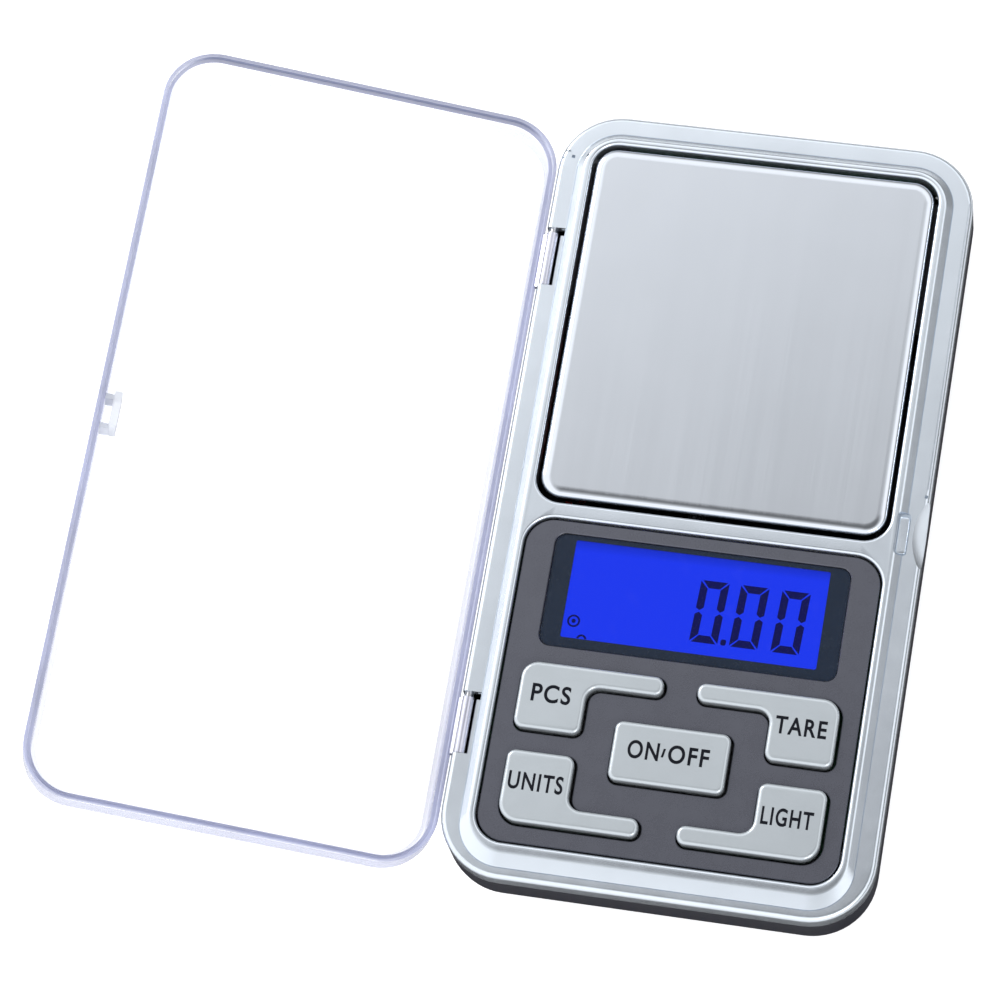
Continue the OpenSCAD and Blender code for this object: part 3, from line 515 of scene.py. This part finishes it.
def top_frame():
    """The upper casing: rounded side, flat ledge, raised bead and the two openings in it."""
    skin = Skin()
    low, high = (-HALF_W, -HALF_L), (HALF_W, HALF_L)
    rings = [
        skin.ring(inset_rounded(low, high, CORNER_R, PARTING_BEVEL), PARTING_Z),
        skin.ring(rounded(low, high, CORNER_R), PARTING_Z + PARTING_BEVEL),
    ]
    for x, z in arc(LEDGE_ROUND, LEDGE_Z - LEDGE_ROUND, LEDGE_ROUND, 180, 90, 6):
        rings.append(skin.ring(inset_rounded(low, high, CORNER_R, x), z))
    rings.append(skin.ring(inset_rounded(BEAD_LOW, BEAD_HIGH, BEAD_R, -BEAD_GROOVE), LEDGE_Z))
    foot = rounded(BEAD_LOW, BEAD_HIGH, BEAD_R)
    top = rounded(BEAD_TOP_LOW, BEAD_TOP_HIGH, BEAD_TOP_R)
    for along, rise in BEAD_SLOPE:
        outline = [Vector(a).lerp(Vector(b), along) for a, b in zip(foot, top)]
        rings.append(skin.ring(outline, LEDGE_Z + (BEAD_Z - LEDGE_Z) * rise))
    skin.chain(rings)
    under = skin.ring(inset_rounded(low, high, CORNER_R, SKIN_T), PARTING_Z)
    under_top = skin.ring(inset_rounded(low, high, CORNER_R, SKIN_T), SKIN_UNDER_Z)
    skin.chain([rings[0], under, under_top])
    mouths = [mouth(skin, OPEN_LOW, OPEN_HIGH, OPEN_R), mouth(skin, PANEL_LOW, PANEL_HIGH, PANEL_R)]
    skin.cap(rings[-1], mouths[0][0], mouths[1][0])
    skin.cap(under_top, mouths[0][-1], mouths[1][-1])
    obj = piece("frame_shell", skin, [SILVER], "case")
    obj.modifiers.clear()
    for y0, y1 in RECESS_Y:
        boolean(obj, tool(recess(y0, y1)), "DIFFERENCE")
        pit = block((CUT_LEFT, y1 - 1.0, RECESS_FLOOR_Z - 0.1), (RECESS_X - 0.05, y1 - 0.05, CUT_TOP_Z))
        boolean(obj, tool(pit), "DIFFERENCE")
    boolean(obj, tool(block(LATCH_LOW, LATCH_HIGH, 0.7)), "DIFFERENCE")
    boolean(obj, tool(block(*SIDE_GROOVE, 0.09)), "DIFFERENCE")
    for low_xy, high_xy in MOULD_PITS:
        boolean(obj, tool(block((*low_xy, LEDGE_Z - 1.2), (*high_xy, 17), 0.1)), "DIFFERENCE")
    boolean(obj, tool(ball(SCOOP_AT, SCOOP_R)), "DIFFERENCE")
    smooth(obj.data, 32)
    weigh(obj)
    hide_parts("top_frame")

    skin = Skin()
    outline = (LATCH_SEAT_LOW, LATCH_SEAT_HIGH, 0.5)
    rings = [skin.ring(inset_rounded(*outline, 0), LATCH_SEAT_LOW[2])]
    for x, z in arc(0.25, LATCH_SEAT_HIGH[2] - 0.25, 0.25, 180, 90, 4):
        rings.append(skin.ring(inset_rounded(*outline, x), z))
    skin.chain(rings)
    skin.cap(rings[0])
    skin.cap(rings[-1])
    piece("latch_seat", skin, [SILVER], "case")


def recess(y0, y1):
    """The cutter of a hinge recess, which leaves a low rail standing beside the barrel."""
    profile = [
        (CUT_LEFT, RECESS_FLOOR_Z), (RAIL_X, RECESS_FLOOR_Z), (RAIL_X, RAIL_Z - 0.15), (RAIL_X + 0.12, RAIL_Z),
        (RECESS_X, RAIL_Z), (RECESS_X, CUT_TOP_Z), (CUT_LEFT, CUT_TOP_Z),
    ]
    skin = Skin()
    ends = []
    for y in (y0, y1):
        start = len(skin.verts)
        skin.verts += [(x, y, z) for x, z in profile]
        ends.append(list(range(start, len(skin.verts))))
    skin.band(*ends)
    skin.face(tuple(ends[0]))
    skin.face(tuple(ends[1]))
    return skin


def mouth(skin, low, high, r):
    """The rounded rim and the wall of one opening, from the bead's top down."""
    rings = []
    for x, z in arc(-MOUTH_ROUND, BEAD_Z - MOUTH_ROUND, MOUTH_ROUND, 90, 0, 6):
        rings.append(skin.ring(inset_rounded(low, high, r, x), z))
    rings.append(skin.ring(rounded(low, high, r), MOUTH_UNDER_Z))
    rings.append(skin.ring(inset_rounded(low, high, r, -0.7), MOUTH_UNDER_Z))
    rings.append(skin.ring(inset_rounded(low, high, r, -0.7), SKIN_UNDER_Z))
    skin.chain(rings)
    return rings


def ball(at, r, rows=48, sides=96):
    skin = Skin()
    rings = []
    for i in range(1, rows):
        a = math.pi * i / rows
        outline = [(at[0] + p[0], at[1] + p[1]) for p in arc(0, 0, r * math.sin(a), 0, 360, sides)[:-1]]
        rings.append(skin.ring(outline, at[2] + r * math.cos(a)))
    skin.chain(rings)
    skin.face(tuple(rings[0]))
    skin.face(tuple(rings[-1]))
    return skin


# ---------- keys ----------

KEY_GAP = 0.3
KEY_SKIRT = 0.6
KEY_HOLE_SHIFT = (0.16, -0.2)
KEY_ROUND_W = 0.6
KEY_ROUND_H = 0.45
LEGEND_SPACING = 1.15
LEGEND_WEIGHT = 0.02
LEGEND_LIFT = 0.008
TARE = filleted([
    (13.4, -37.6, 1.3), (23.2, -37.6, 1.3), (23.2, -27.5, 2.5),
    (2.5, -27.5, 1.25), (2.5, -30.3, 1.25), (13.4, -30.3, 2.0),
])
LIGHT = filleted([
    (2.8, -51.6, 1.25), (23.2, -51.6, 2.8), (23.2, -41.0, 1.3),
    (13.4, -41.0, 1.3), (13.4, -48.8, 2.0), (2.8, -48.8, 1.25),
])
ON_OFF = filleted([(-8.4, -43.6, 1.2), (8.4, -43.6, 1.2), (8.4, -34.7, 1.2), (-8.4, -34.7, 1.2)])
KEYS = (
    ("pcs", mirrored(TARE), "PCS", (-21.25, -33.6), (-15.5, -30.85)),
    ("tare", TARE, "TARE", (14.3, -33.55), (21.75, -30.9)),
    ("units", mirrored(LIGHT), "UNITS", (-22.4, -46.95), (-14.4, -44.25)),
    ("light", LIGHT, "LIGHT", (14.3, -47.15), (21.75, -44.45)),
    ("on_off", ON_OFF, "ON", (-6.1, -40.1), (-1.55, -37.35)),
)


def key(name, outline, legend, low, high):
    """A key cap with a rounded top edge, and its printed legend."""
    skin = Skin()
    rings = [skin.ring(outline, PANEL_UNDER_Z - KEY_SKIRT)]
    for x, z in arc(1, 0, 1, 180, 90, 8):
        rings.append(skin.ring(offset(outline, -x * KEY_ROUND_W), KEY_TOP_Z + (z - 1) * KEY_ROUND_H))
    skin.chain(rings)
    skin.cap(rings[-1])
    skin.cap(rings[0])
    obj = piece(f"key_{name}_cap", skin, [KEY], f"{name}_key")
    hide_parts(f"key_{name}")
    lettering(f"legend_{name}", legend, low, high, KEY_TOP_Z, f"{name}_key")
    if name == "on_off":
        lettering("legend_on_off_second", "OFF", (-0.2, low[1]), (5.7, high[1]), KEY_TOP_Z, "on_off_key")
        skin = Skin()
        figure(skin, [(-1.2, -39.4), (-0.87, -39.4), (-0.62, -38.1), (-0.95, -38.1)], 0, KEY_TOP_Z)
        piece("legend_slash", skin, [INK], "on_off_key", angle=20)


def lettering(name, text, low, high, z, body):
    """Flat printed capitals, fitted to a box."""
    curve = bpy.data.curves.new(name, "FONT")
    curve.body = text
    curve.space_character = LEGEND_SPACING
    curve.offset = LEGEND_WEIGHT
    curve.extrude = 0.01
    source = bpy.data.objects.new(name, curve)
    bpy.context.scene.collection.objects.link(source)
    bpy.context.view_layer.update()
    mesh = bpy.data.meshes.new_from_object(source)
    bpy.data.objects.remove(source)
    xs = [v.co.x for v in mesh.vertices]
    ys = [v.co.y for v in mesh.vertices]
    for v in mesh.vertices:
        v.co = Vector((
            low[0] + MID_X + (v.co.x - min(xs)) / (max(xs) - min(xs)) * (high[0] - low[0]),
            low[1] + (v.co.y - min(ys)) / (max(ys) - min(ys)) * (high[1] - low[1]),
            z + LEGEND_LIFT + v.co.z * 0.8,
        )) * MM
    mesh.materials.clear()
    mesh.materials.append(INK)
    obj = bpy.data.objects.new(name, mesh)
    bpy.context.scene.collection.objects.link(obj)
    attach(obj, body)


# ---------- panel and display ----------

LENS_LOW = (-21.75, -24.6)
LENS_HIGH = (21.75, -7.4)
LENS_R = 1.6
LIT_LOW = (-18.75, -23.05)
LIT_HIGH = (18.75, -8.1)
LENS_TOP_Z = 14.95
DISPLAY_Z = 14.25
FIGURE_Y = -21.2


def face_panel():
    """The fascia with its bevelled key holes and the seat of the display window."""
    skin = Skin()
    outer = inset_rounded(PANEL_LOW, PANEL_HIGH, PANEL_R, PANEL_GAP)
    right, back = KEY_HOLE_SHIFT
    holes = [[(x + right, y + back) for x, y in offset(outline, KEY_GAP)] for _, outline, *_ in KEYS]
    holes.append(inset_rounded(LENS_LOW, LENS_HIGH, LENS_R, -0.1))
    edge = 0.12
    tops, unders = [], []
    for i, outline in enumerate([outer] + holes):
        d = -edge if i == 0 else edge
        rings = [skin.ring(offset(outline, d), PANEL_Z)]
        rings += [skin.ring(outline, z) for z in (PANEL_Z - edge, PANEL_UNDER_Z)]
        skin.chain(rings)
        tops.append(rings[0])
        unders.append(rings[-1])
    skin.cap(*tops)
    skin.cap(*unders)
    obj = piece("fascia", skin, [PANEL], "case")
    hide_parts("face_panel")


def display():
    """The smoked window, the dark print round it, and the lit glass with its figures."""
    skin = Skin()
    rings = [skin.ring(rounded(LENS_LOW, LENS_HIGH, LENS_R), DISPLAY_Z + 0.1)]
    for x, z in arc(0.15, LENS_TOP_Z - 0.3, 0.15, 180, 90, 4):
        rings.append(skin.ring(inset_rounded(LENS_LOW, LENS_HIGH, LENS_R, x), z))
    skin.chain(rings)
    skin.cap(rings[0])
    skin.cap(rings[-1])
    window = piece("window", skin, [LENS], "case")
    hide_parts("lcd_lens")

    skin = Skin()
    rims = []
    for z in (DISPLAY_Z, DISPLAY_Z + 0.08):
        outer = skin.ring(rounded(LENS_LOW, LENS_HIGH, LENS_R), z)
        rims.append([outer, skin.ring(rounded(LIT_LOW, LIT_HIGH, 0.3), z)])
        skin.cap(*rims[-1])
    skin.band(rims[0][0], rims[1][0])
    skin.band(rims[0][1], rims[1][1])
    piece("window_print", skin, [MASK], "case")

    skin = Skin()
    outline = inset_rounded(LIT_LOW, LIT_HIGH, 1.0, -0.4)
    rings = [skin.ring(outline, z) for z in (DISPLAY_Z - 0.5, DISPLAY_Z - 0.05)]
    skin.chain(rings)
    skin.cap(rings[0])
    skin.cap(rings[1])
    lit = piece("lit_glass", skin, [LIT], "case")
    shade_top(LIT)
    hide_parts("lcd_glass")
    figures()


def shade_top(material):
    """Paints shade into the lit glass's glow just under the upper edge of its print."""
    tree = material.node_tree
    place = tree.nodes.new("ShaderNodeTexCoord").outputs["Object"]
    height = along_body(tree, place, LIT_HIGH[1], LIT_HIGH[1] - 1.6)
    shader = tree.nodes["Principled BSDF"]
    tree.links.new(ramp(tree, height, 0, 1, 0.62, 1.0), shader.inputs["Emission Strength"])


def figures():
    """Three slanted seven-segment noughts, the point, and two small marks."""
    z = DISPLAY_Z - 0.05
    skin = Skin()
    height, width, bar, slant, gap = 9.5, 4.15, 1.12, 0.045, 0.13
    for left in (-0.1, 5.75, 11.8):
        for upper in (0, 1):
            base = FIGURE_Y + upper * height / 2
            for side in (0, 1):
                x = left + side * width
                inward = bar if side == 0 else -bar
                y0, y1 = base + gap, base + height / 2 - gap
                mid, inner = x + inward * 0.5, x + inward
                if upper:
                    shape = [(x, y0 + 0.35), (mid, y0), (inner, y0 + 0.45), (inner, y1 - bar), (x, y1)]
                else:
                    shape = [(x, y0), (inner, y0 + bar), (inner, y1 - 0.45), (mid, y1), (x, y1 - 0.35)]
                figure(skin, shape, slant, z)
        right = left + width
        for y, d in ((FIGURE_Y, bar), (FIGURE_Y + height, -bar)):
            shape = [(left + gap * 2, y), (right - gap * 2, y), (right - bar - gap, y + d), (left + bar + gap, y + d)]
            figure(skin, shape, slant, z)
    figure(skin, rounded((4.45, FIGURE_Y), (5.25, FIGURE_Y + 0.9), 0.25, 3), slant, z)
    figure(skin, arc(-17.2, -20.4, 0.32, 0, 330, 11), 0, z)
    piece("figures", skin, [DIGIT], "case", angle=20)
    skin = Skin()
    ring_mark(skin, (-17.2, -20.4), 0.95, 0.68, 0, 360, z)
    ring_mark(skin, (-15.65, -23.05), 0.75, 0.45, 10, 170, z)
    piece("display_marks", skin, [DIGIT], "case", angle=20)


def figure(skin, shape, slant, z):
    """One printed shape, leaning to the right."""
    outline = [(x + (y - FIGURE_Y) * slant, y) for x, y in shape]
    rings = [skin.ring(outline, z), skin.ring(outline, z + 0.02)]
    skin.chain(rings)
    skin.cap(rings[0])
    skin.cap(rings[1])


def ring_mark(skin, at, r_out, r_in, a0, a1, z):
    outline = arc(*at, r_out, a0, a1, 24) + arc(*at, r_in, a1, a0, 24)
    if a1 - a0 < 360:
        figure(skin, outline, 0, z)
        return
    outer = [skin.ring(arc(*at, r_out, 0, 360, 24)[:-1], h) for h in (z, z + 0.02)]
    inner = [skin.ring(arc(*at, r_in, 0, 360, 24)[:-1], h) for h in (z, z + 0.02)]
    skin.band(*outer)
    skin.band(*inner)
    skin.cap(outer[0], inner[0])
    skin.cap(outer[1], inner[1])


# ---------- weighing plate ----------

PLATE_LOW = (-25.7, -1.95)
PLATE_HIGH = (25.7, 54.42)
PLATE_R = 3.4
PLATE_TOP_Z = 15.3
PLATE_SHOULDER_R = 2.8
PLATE_SHOULDER_DEG = 22
PLATE_EDGE_R = 0.9
PLATE_SKIRT_Z = 13.0


def plate_edge():
    """Inset and height along the pan's edge: the upright skirt, a tight roll and a shallow shoulder."""
    turn = math.radians(PLATE_SHOULDER_DEG)
    roll_in = PLATE_EDGE_R * (1 - math.sin(turn))
    roll_up = PLATE_EDGE_R * math.cos(turn)
    start_z = PLATE_TOP_Z - PLATE_SHOULDER_R * (1 - math.cos(turn)) - roll_up
    roll = arc(0, 0, PLATE_EDGE_R, 0, 90 - PLATE_SHOULDER_DEG, 10)
    points = [(PLATE_EDGE_R - x, start_z + z) for x, z in roll]
    for i in range(1, 11):
        a = turn * (1 - i / 10)
        run = PLATE_SHOULDER_R * (math.sin(turn) - math.sin(a))
        points.append((roll_in + run, PLATE_TOP_Z - PLATE_SHOULDER_R * (1 - math.cos(a))))
    return points


def plate():
    """The steel pan: brushed top, polished rolled edge and a thin skirt."""
    skin = Skin()
    rings = []
    for x, z in [(0.5, PLATE_SKIRT_Z), (0.0, PLATE_SKIRT_Z + 0.1)] + plate_edge():
        rings.append(skin.ring(inset_rounded(PLATE_LOW, PLATE_HIGH, PLATE_R, x), z))
    skin.chain(rings)
    inner = [rings[0]]
    for x, z in ((0.5, PLATE_TOP_Z - 1.2), (1.2, PLATE_TOP_Z - 0.7)):
        inner.append(skin.ring(inset_rounded(PLATE_LOW, PLATE_HIGH, PLATE_R, x), z))
    skin.chain(inner)
    skin.cap(inner[-1])
    skin.cap(rings[-1])
    obj = piece("pan", skin, [BRUSHED], "platform", angle=40)
    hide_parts("platform_plate")


# ---------- lid ----------


def lid_turn():
    """Takes the closed lid to where it rests when open."""
    axis = Vector((AXIS_X, 0, AXIS_Z)) * MM
    spin = Matrix.Rotation(math.radians(LID_OPEN_DEG - 180), 4, "Y")
    return Matrix.Translation(axis) @ spin @ Matrix.Translation(-axis)


def lid():
    """The clear tray, with its rim, walls and crown in the moulding's own tint, deepened as painted refraction where
    they are seen edge on, and painted shade along the body on the rim, walls and step.
    """
    clear, rim, crown, wall, step = range(5)
    crown_z = LID_TOP_Z - LID_ROUND
    ceiling_z = LID_TOP_Z - LID_WALL
    step_z = LID_UNDER_Z + LID_STEP_H
    outer = [(LID_ROUND + 0.3, LID_TOP_Z, crown)]
    outer += [(x, z, crown) for x, z in arc(LID_ROUND, crown_z, LID_ROUND, 90, 180, 8)[:-1]]
    outer += [(0.0, crown_z, wall), (0.0, LID_UNDER_Z + 0.12, rim), (0.12, LID_UNDER_Z, rim)]
    inner = [(LID_STEP_W - 0.1, LID_UNDER_Z, rim), (LID_STEP_W, LID_UNDER_Z + 0.1, step), (LID_STEP_W, step_z, rim)]
    inner.append((LID_WALL, step_z, wall))
    hollow = arc(LID_WALL + LID_HOLLOW_R, ceiling_z - LID_HOLLOW_R, LID_HOLLOW_R, 180, 90, 6)
    inner += [(x, z, wall) for x, z in hollow]
    inner.append((LID_WALL + 0.9, ceiling_z, clear))
    skin = Skin()
    before = None
    for x, z, slot in outer + inner:
        ring = skin.ring(inset_rounded(LID_LOW, LID_HIGH, LID_R, x, 20), z)
        if before:
            skin.band(before, ring)
        else:
            skin.slot = clear
            skin.cap(ring)
        skin.slot = slot
        before = ring
    skin.cap(before)
    materials = [CLEAR, RIM, CROWN, WALL, STEP]
    obj = piece("clear_cover", skin, materials, "lid", angle=30, turn=lid_turn())
    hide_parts("lid")
    for i, (y0, y1) in enumerate(RECESS_Y):
        knuckle(f"cover_knuckle_{i}", (y0 + y1) / 2 + KNUCKLE_SHIFT_Y)
    catch()


def knuckle(name, y):
    """A hinge barrel with the arm that joins it to the lid's wall."""
    ends_y = (y - KNUCKLE_L / 2, y + KNUCKLE_L / 2)
    skin = Skin()
    circles = []
    for at in ends_y:
        for r in (KNUCKLE_BORE_R, KNUCKLE_R):
            start = len(skin.verts)
            skin.verts += [(AXIS_X + p[0], at, AXIS_Z + p[1]) for p in arc(0, 0, r, 0, 360, 32)[:-1]]
            circles.append(list(range(start, len(skin.verts))))
    skin.band(circles[0], circles[2])
    skin.band(circles[1], circles[3])
    skin.band(circles[0], circles[1])
    skin.band(circles[2], circles[3])
    wall_x = LID_LOW[0]
    arm = [(AXIS_X + 0.6, AXIS_Z + 0.5), (wall_x + 0.3, LID_UNDER_Z + 0.1), (wall_x + 0.3, LID_UNDER_Z + 1.1)]
    arm += [(wall_x - 0.12, LID_UNDER_Z + 1.1), (AXIS_X + 0.1, AXIS_Z + 0.8)]
    ends = []
    for at in ends_y:
        start = len(skin.verts)
        skin.verts += [(x, at, z) for x, z in arm]
        ends.append(list(range(start, len(skin.verts))))
    skin.band(*ends)
    skin.face(tuple(ends[0]))
    skin.face(tuple(ends[1]))
    piece(name, skin, [BARREL], "lid", turn=lid_turn())


def catch():
    """The frosted tab that snaps into the bead, with the two ribs behind it."""
    skin = Skin()
    low_y, high_y = CATCH_Y
    top_z = LID_TOP_Z - LID_WALL
    block((27.5, low_y, LID_UNDER_Z - 0.7), (28.7, high_y, top_z), 0.25, skin)
    for y in (low_y, high_y - CATCH_RIB_T):
        block((28.6, y, LID_UNDER_Z + 1.1), (LID_HIGH[0] - LID_WALL, y + CATCH_RIB_T, top_z), 0.1, skin)
    piece("cover_catch", skin, [FROSTED], "lid", turn=lid_turn())


# ---------- plain CAD nodes ----------

FINISHES = {
    BLACK: ("bottom_case", "battery_door", "platform_bracket", "lcd_gasket", "battery_lead_negative"),
    RUBBER: ("rubber_feet", "pad_pcs", "pad_tare", "pad_units", "pad_light", "pad_on_off"),
    FOIL: ("rating_label",),
    SCREW: ("case_screws", "pcb_screws", "bracket_screws", "load_cell_screws", "hinge_pins"),
    BOARD: ("main_pcb",),
    CHIP: ("controller_chip", "adc_chip"),
    MILLED: ("load_cell", "load_cell_free_end", "load_cell_spacer"),
    SLEEVE: ("battery_cell_front", "battery_cell_back"),
    NICKEL: ("battery_springs", "battery_plates", "crystal"),
    WHITE: ("lcd_carrier", "lcd_backlight"),
    SILICONE: ("keypad_mat", "load_cell_cable"),
    RED: ("battery_lead_positive",),
    FILM: ("strain_gauges", "pcb_capacitors"),
    PINK: ("zebra_connector",),
}


def finish_nodes():
    """Gives every CAD node that stays its material."""
    for material, names in FINISHES.items():
        for name in names:
            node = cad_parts[name]
            node.data.materials.clear()
            node.data.materials.append(material)


# ---------- stage ----------

# Where the sky's dark patch is, and the angles from there at which it begins and is darkest
SKY_DARK_TOWARD = (0.085, 0.02, 1.0)
SKY_DARK_DEG = (30, 12.5)
SKY_BRIGHT = 1.3
SKY_DARK = 0.2
# How dark the sky gets low down, and the direction that counts as up for it
SKY_HORIZON = 0.2
SKY_HORIZON_LEAN = (-0.3, -0.35, 1.0)
# The floor's own light, then its brightness in mirrors beside the object and at that reach away; the mirrored floor
# is a painted reflection, with painted shade near the object
FLOOR_GLOW = 0.5
FLOOR_MIRRORED = (0.06, 0.8)
FLOOR_MIRRORED_REACH = 0.03
FLOOR_REACH = 3
# Name, place in metres and power in watts of each lamp; all are aimed at the origin
LIGHTS = (("key_light", (-0.7, 0.5, 0.55), 4.0), ("fill_light", (0.6, -0.7, 0.6), 2.0))
LIGHT_SIZE = (0.5, 0.3)
# The camera, placed in metres from the middle of the body and turned about its own axes in this order
CAMERA_LENS = 148.47
CAMERA_SENSOR = 36
CAMERA_AT = (0.0683, -0.1958, 0.582)
CAMERA_TURNS_DEG = (("X", 18.72), ("Y", 9.414), ("Z", 7.154))


def dot(tree, place, direction):
    """How far a view direction points the given way."""
    node = tree.nodes.new("ShaderNodeVectorMath")
    node.operation = "DOT_PRODUCT"
    node.inputs[1].default_value = direction
    tree.links.new(place, node.inputs[0])
    return node.outputs["Value"]


def sky(tree):
    """A studio dome: bright, darker overhead and low at the right and far sides, white where it is seen."""
    place = tree.nodes.new("ShaderNodeTexCoord").outputs["Generated"]
    overhead, height = [dot(tree, place, v) for v in (Vector(SKY_DARK_TOWARD).normalized(), SKY_HORIZON_LEAN)]
    spot = ramp(tree, overhead, *[math.cos(math.radians(a)) for a in SKY_DARK_DEG], SKY_BRIGHT, SKY_DARK)
    low = ramp(tree, height, 0.0, 0.35, SKY_HORIZON, 1.0)
    dome = tree.nodes.new("ShaderNodeMath")
    dome.operation = "MULTIPLY"
    tree.links.new(spot, dome.inputs[0])
    tree.links.new(low, dome.inputs[1])
    seen = tree.nodes.new("ShaderNodeMix")
    tree.links.new(tree.nodes.new("ShaderNodeLightPath").outputs["Is Camera Ray"], seen.inputs["Factor"])
    tree.links.new(dome.outputs[0], seen.inputs["A"])
    seen.inputs["B"].default_value = 1.0
    background = tree.nodes["Background"]
    tree.links.new(seen.outputs["Result"], background.inputs["Strength"])
    background.inputs["Color"].default_value = (0.955, 0.975, 1.0, 1)


def painted_floor_shade(tree):
    """Painted shade in the floor's mirrored brightness, which rises with the distance from the object's sides."""
    high = cad_bounds[1]
    place = tree.nodes.new("ShaderNodeTexCoord").outputs["Object"]
    apart = tree.nodes.new("ShaderNodeVectorMath")
    apart.operation = "ABSOLUTE"
    tree.links.new(place, apart.inputs[0])
    beyond = tree.nodes.new("ShaderNodeVectorMath")
    beyond.operation = "SUBTRACT"
    beyond.inputs[1].default_value = (high[0], high[1], 0)
    tree.links.new(apart.outputs[0], beyond.inputs[0])
    split = tree.nodes.new("ShaderNodeSeparateXYZ")
    tree.links.new(beyond.outputs[0], split.inputs[0])
    farther = tree.nodes.new("ShaderNodeMath")
    farther.operation = "MAXIMUM"
    tree.links.new(split.outputs["X"], farther.inputs[0])
    tree.links.new(split.outputs["Y"], farther.inputs[1])
    return ramp(tree, farther.outputs[0], 0.0, FLOOR_MIRRORED_REACH, *FLOOR_MIRRORED)


def paper():
    """White paper that stays pale in shade; in mirrors it is a painted reflection, darker, with painted shade beside
    the object.
    """
    material = surface(
        "floor_paper", (0.9, 0.9, 0.9), 0.9, mottle=0.003, grain=2.0, grain_h=0.002, wear=0.0,
        glow=(1, 1, 1, FLOOR_GLOW),
    )
    tree = material.node_tree
    output = tree.nodes["Material Output"]
    mirrored_floor = tree.nodes.new("ShaderNodeBsdfDiffuse")
    tree.links.new(painted_floor_shade(tree), mirrored_floor.inputs["Color"])
    mix = tree.nodes.new("ShaderNodeMixShader")
    tree.links.new(tree.nodes.new("ShaderNodeLightPath").outputs["Is Glossy Ray"], mix.inputs[0])
    tree.links.new(tree.nodes["Principled BSDF"].outputs[0], mix.inputs[1])
    tree.links.new(mirrored_floor.outputs[0], mix.inputs[2])
    tree.links.new(mix.outputs[0], output.inputs["Surface"])
    return material


def stage():
    """A pale floor under soft studio light, and the camera."""
    floor = bpy.data.meshes.new("floor")
    reach = FLOOR_REACH
    corners = [(-reach, -reach, 0), (reach, -reach, 0), (reach, reach, 0), (-reach, reach, 0)]
    floor.from_pydata(corners, [], [(0, 1, 2, 3)])
    floor.materials.append(paper())
    obj = bpy.data.objects.new("floor", floor)
    bpy.context.scene.collection.objects.link(obj)

    world = bpy.data.worlds.new("studio")
    bpy.context.scene.world = world
    world.use_nodes = True
    sky(world.node_tree)

    for name, at, power in LIGHTS:
        light = bpy.data.lights.new(name, "AREA")
        light.shape = "RECTANGLE"
        light.size, light.size_y = LIGHT_SIZE
        light.energy = power
        lamp = bpy.data.objects.new(name, light)
        lamp.location = at
        lamp.rotation_euler = (-Vector(at)).to_track_quat("-Z", "Y").to_euler()
        bpy.context.scene.collection.objects.link(lamp)

    camera = bpy.data.cameras.new("camera")
    camera.lens = CAMERA_LENS
    camera.sensor_width = CAMERA_SENSOR
    view = bpy.data.objects.new("camera", camera)
    turn = Matrix.Identity(4)
    for axis, angle in CAMERA_TURNS_DEG:
        turn = turn @ Matrix.Rotation(math.radians(angle), 4, axis)
    view.matrix_world = Matrix.Translation(Vector(CAMERA_AT) + Vector((MID_X * MM, 0, 0))) @ turn
    bpy.context.scene.collection.objects.link(view)
    bpy.context.scene.camera = view
    bpy.context.scene.view_settings.view_transform = "Standard"


stage()
top_frame()
face_panel()
display()
for entry in KEYS:
    key(*entry)
plate()
lid()
finish_nodes()
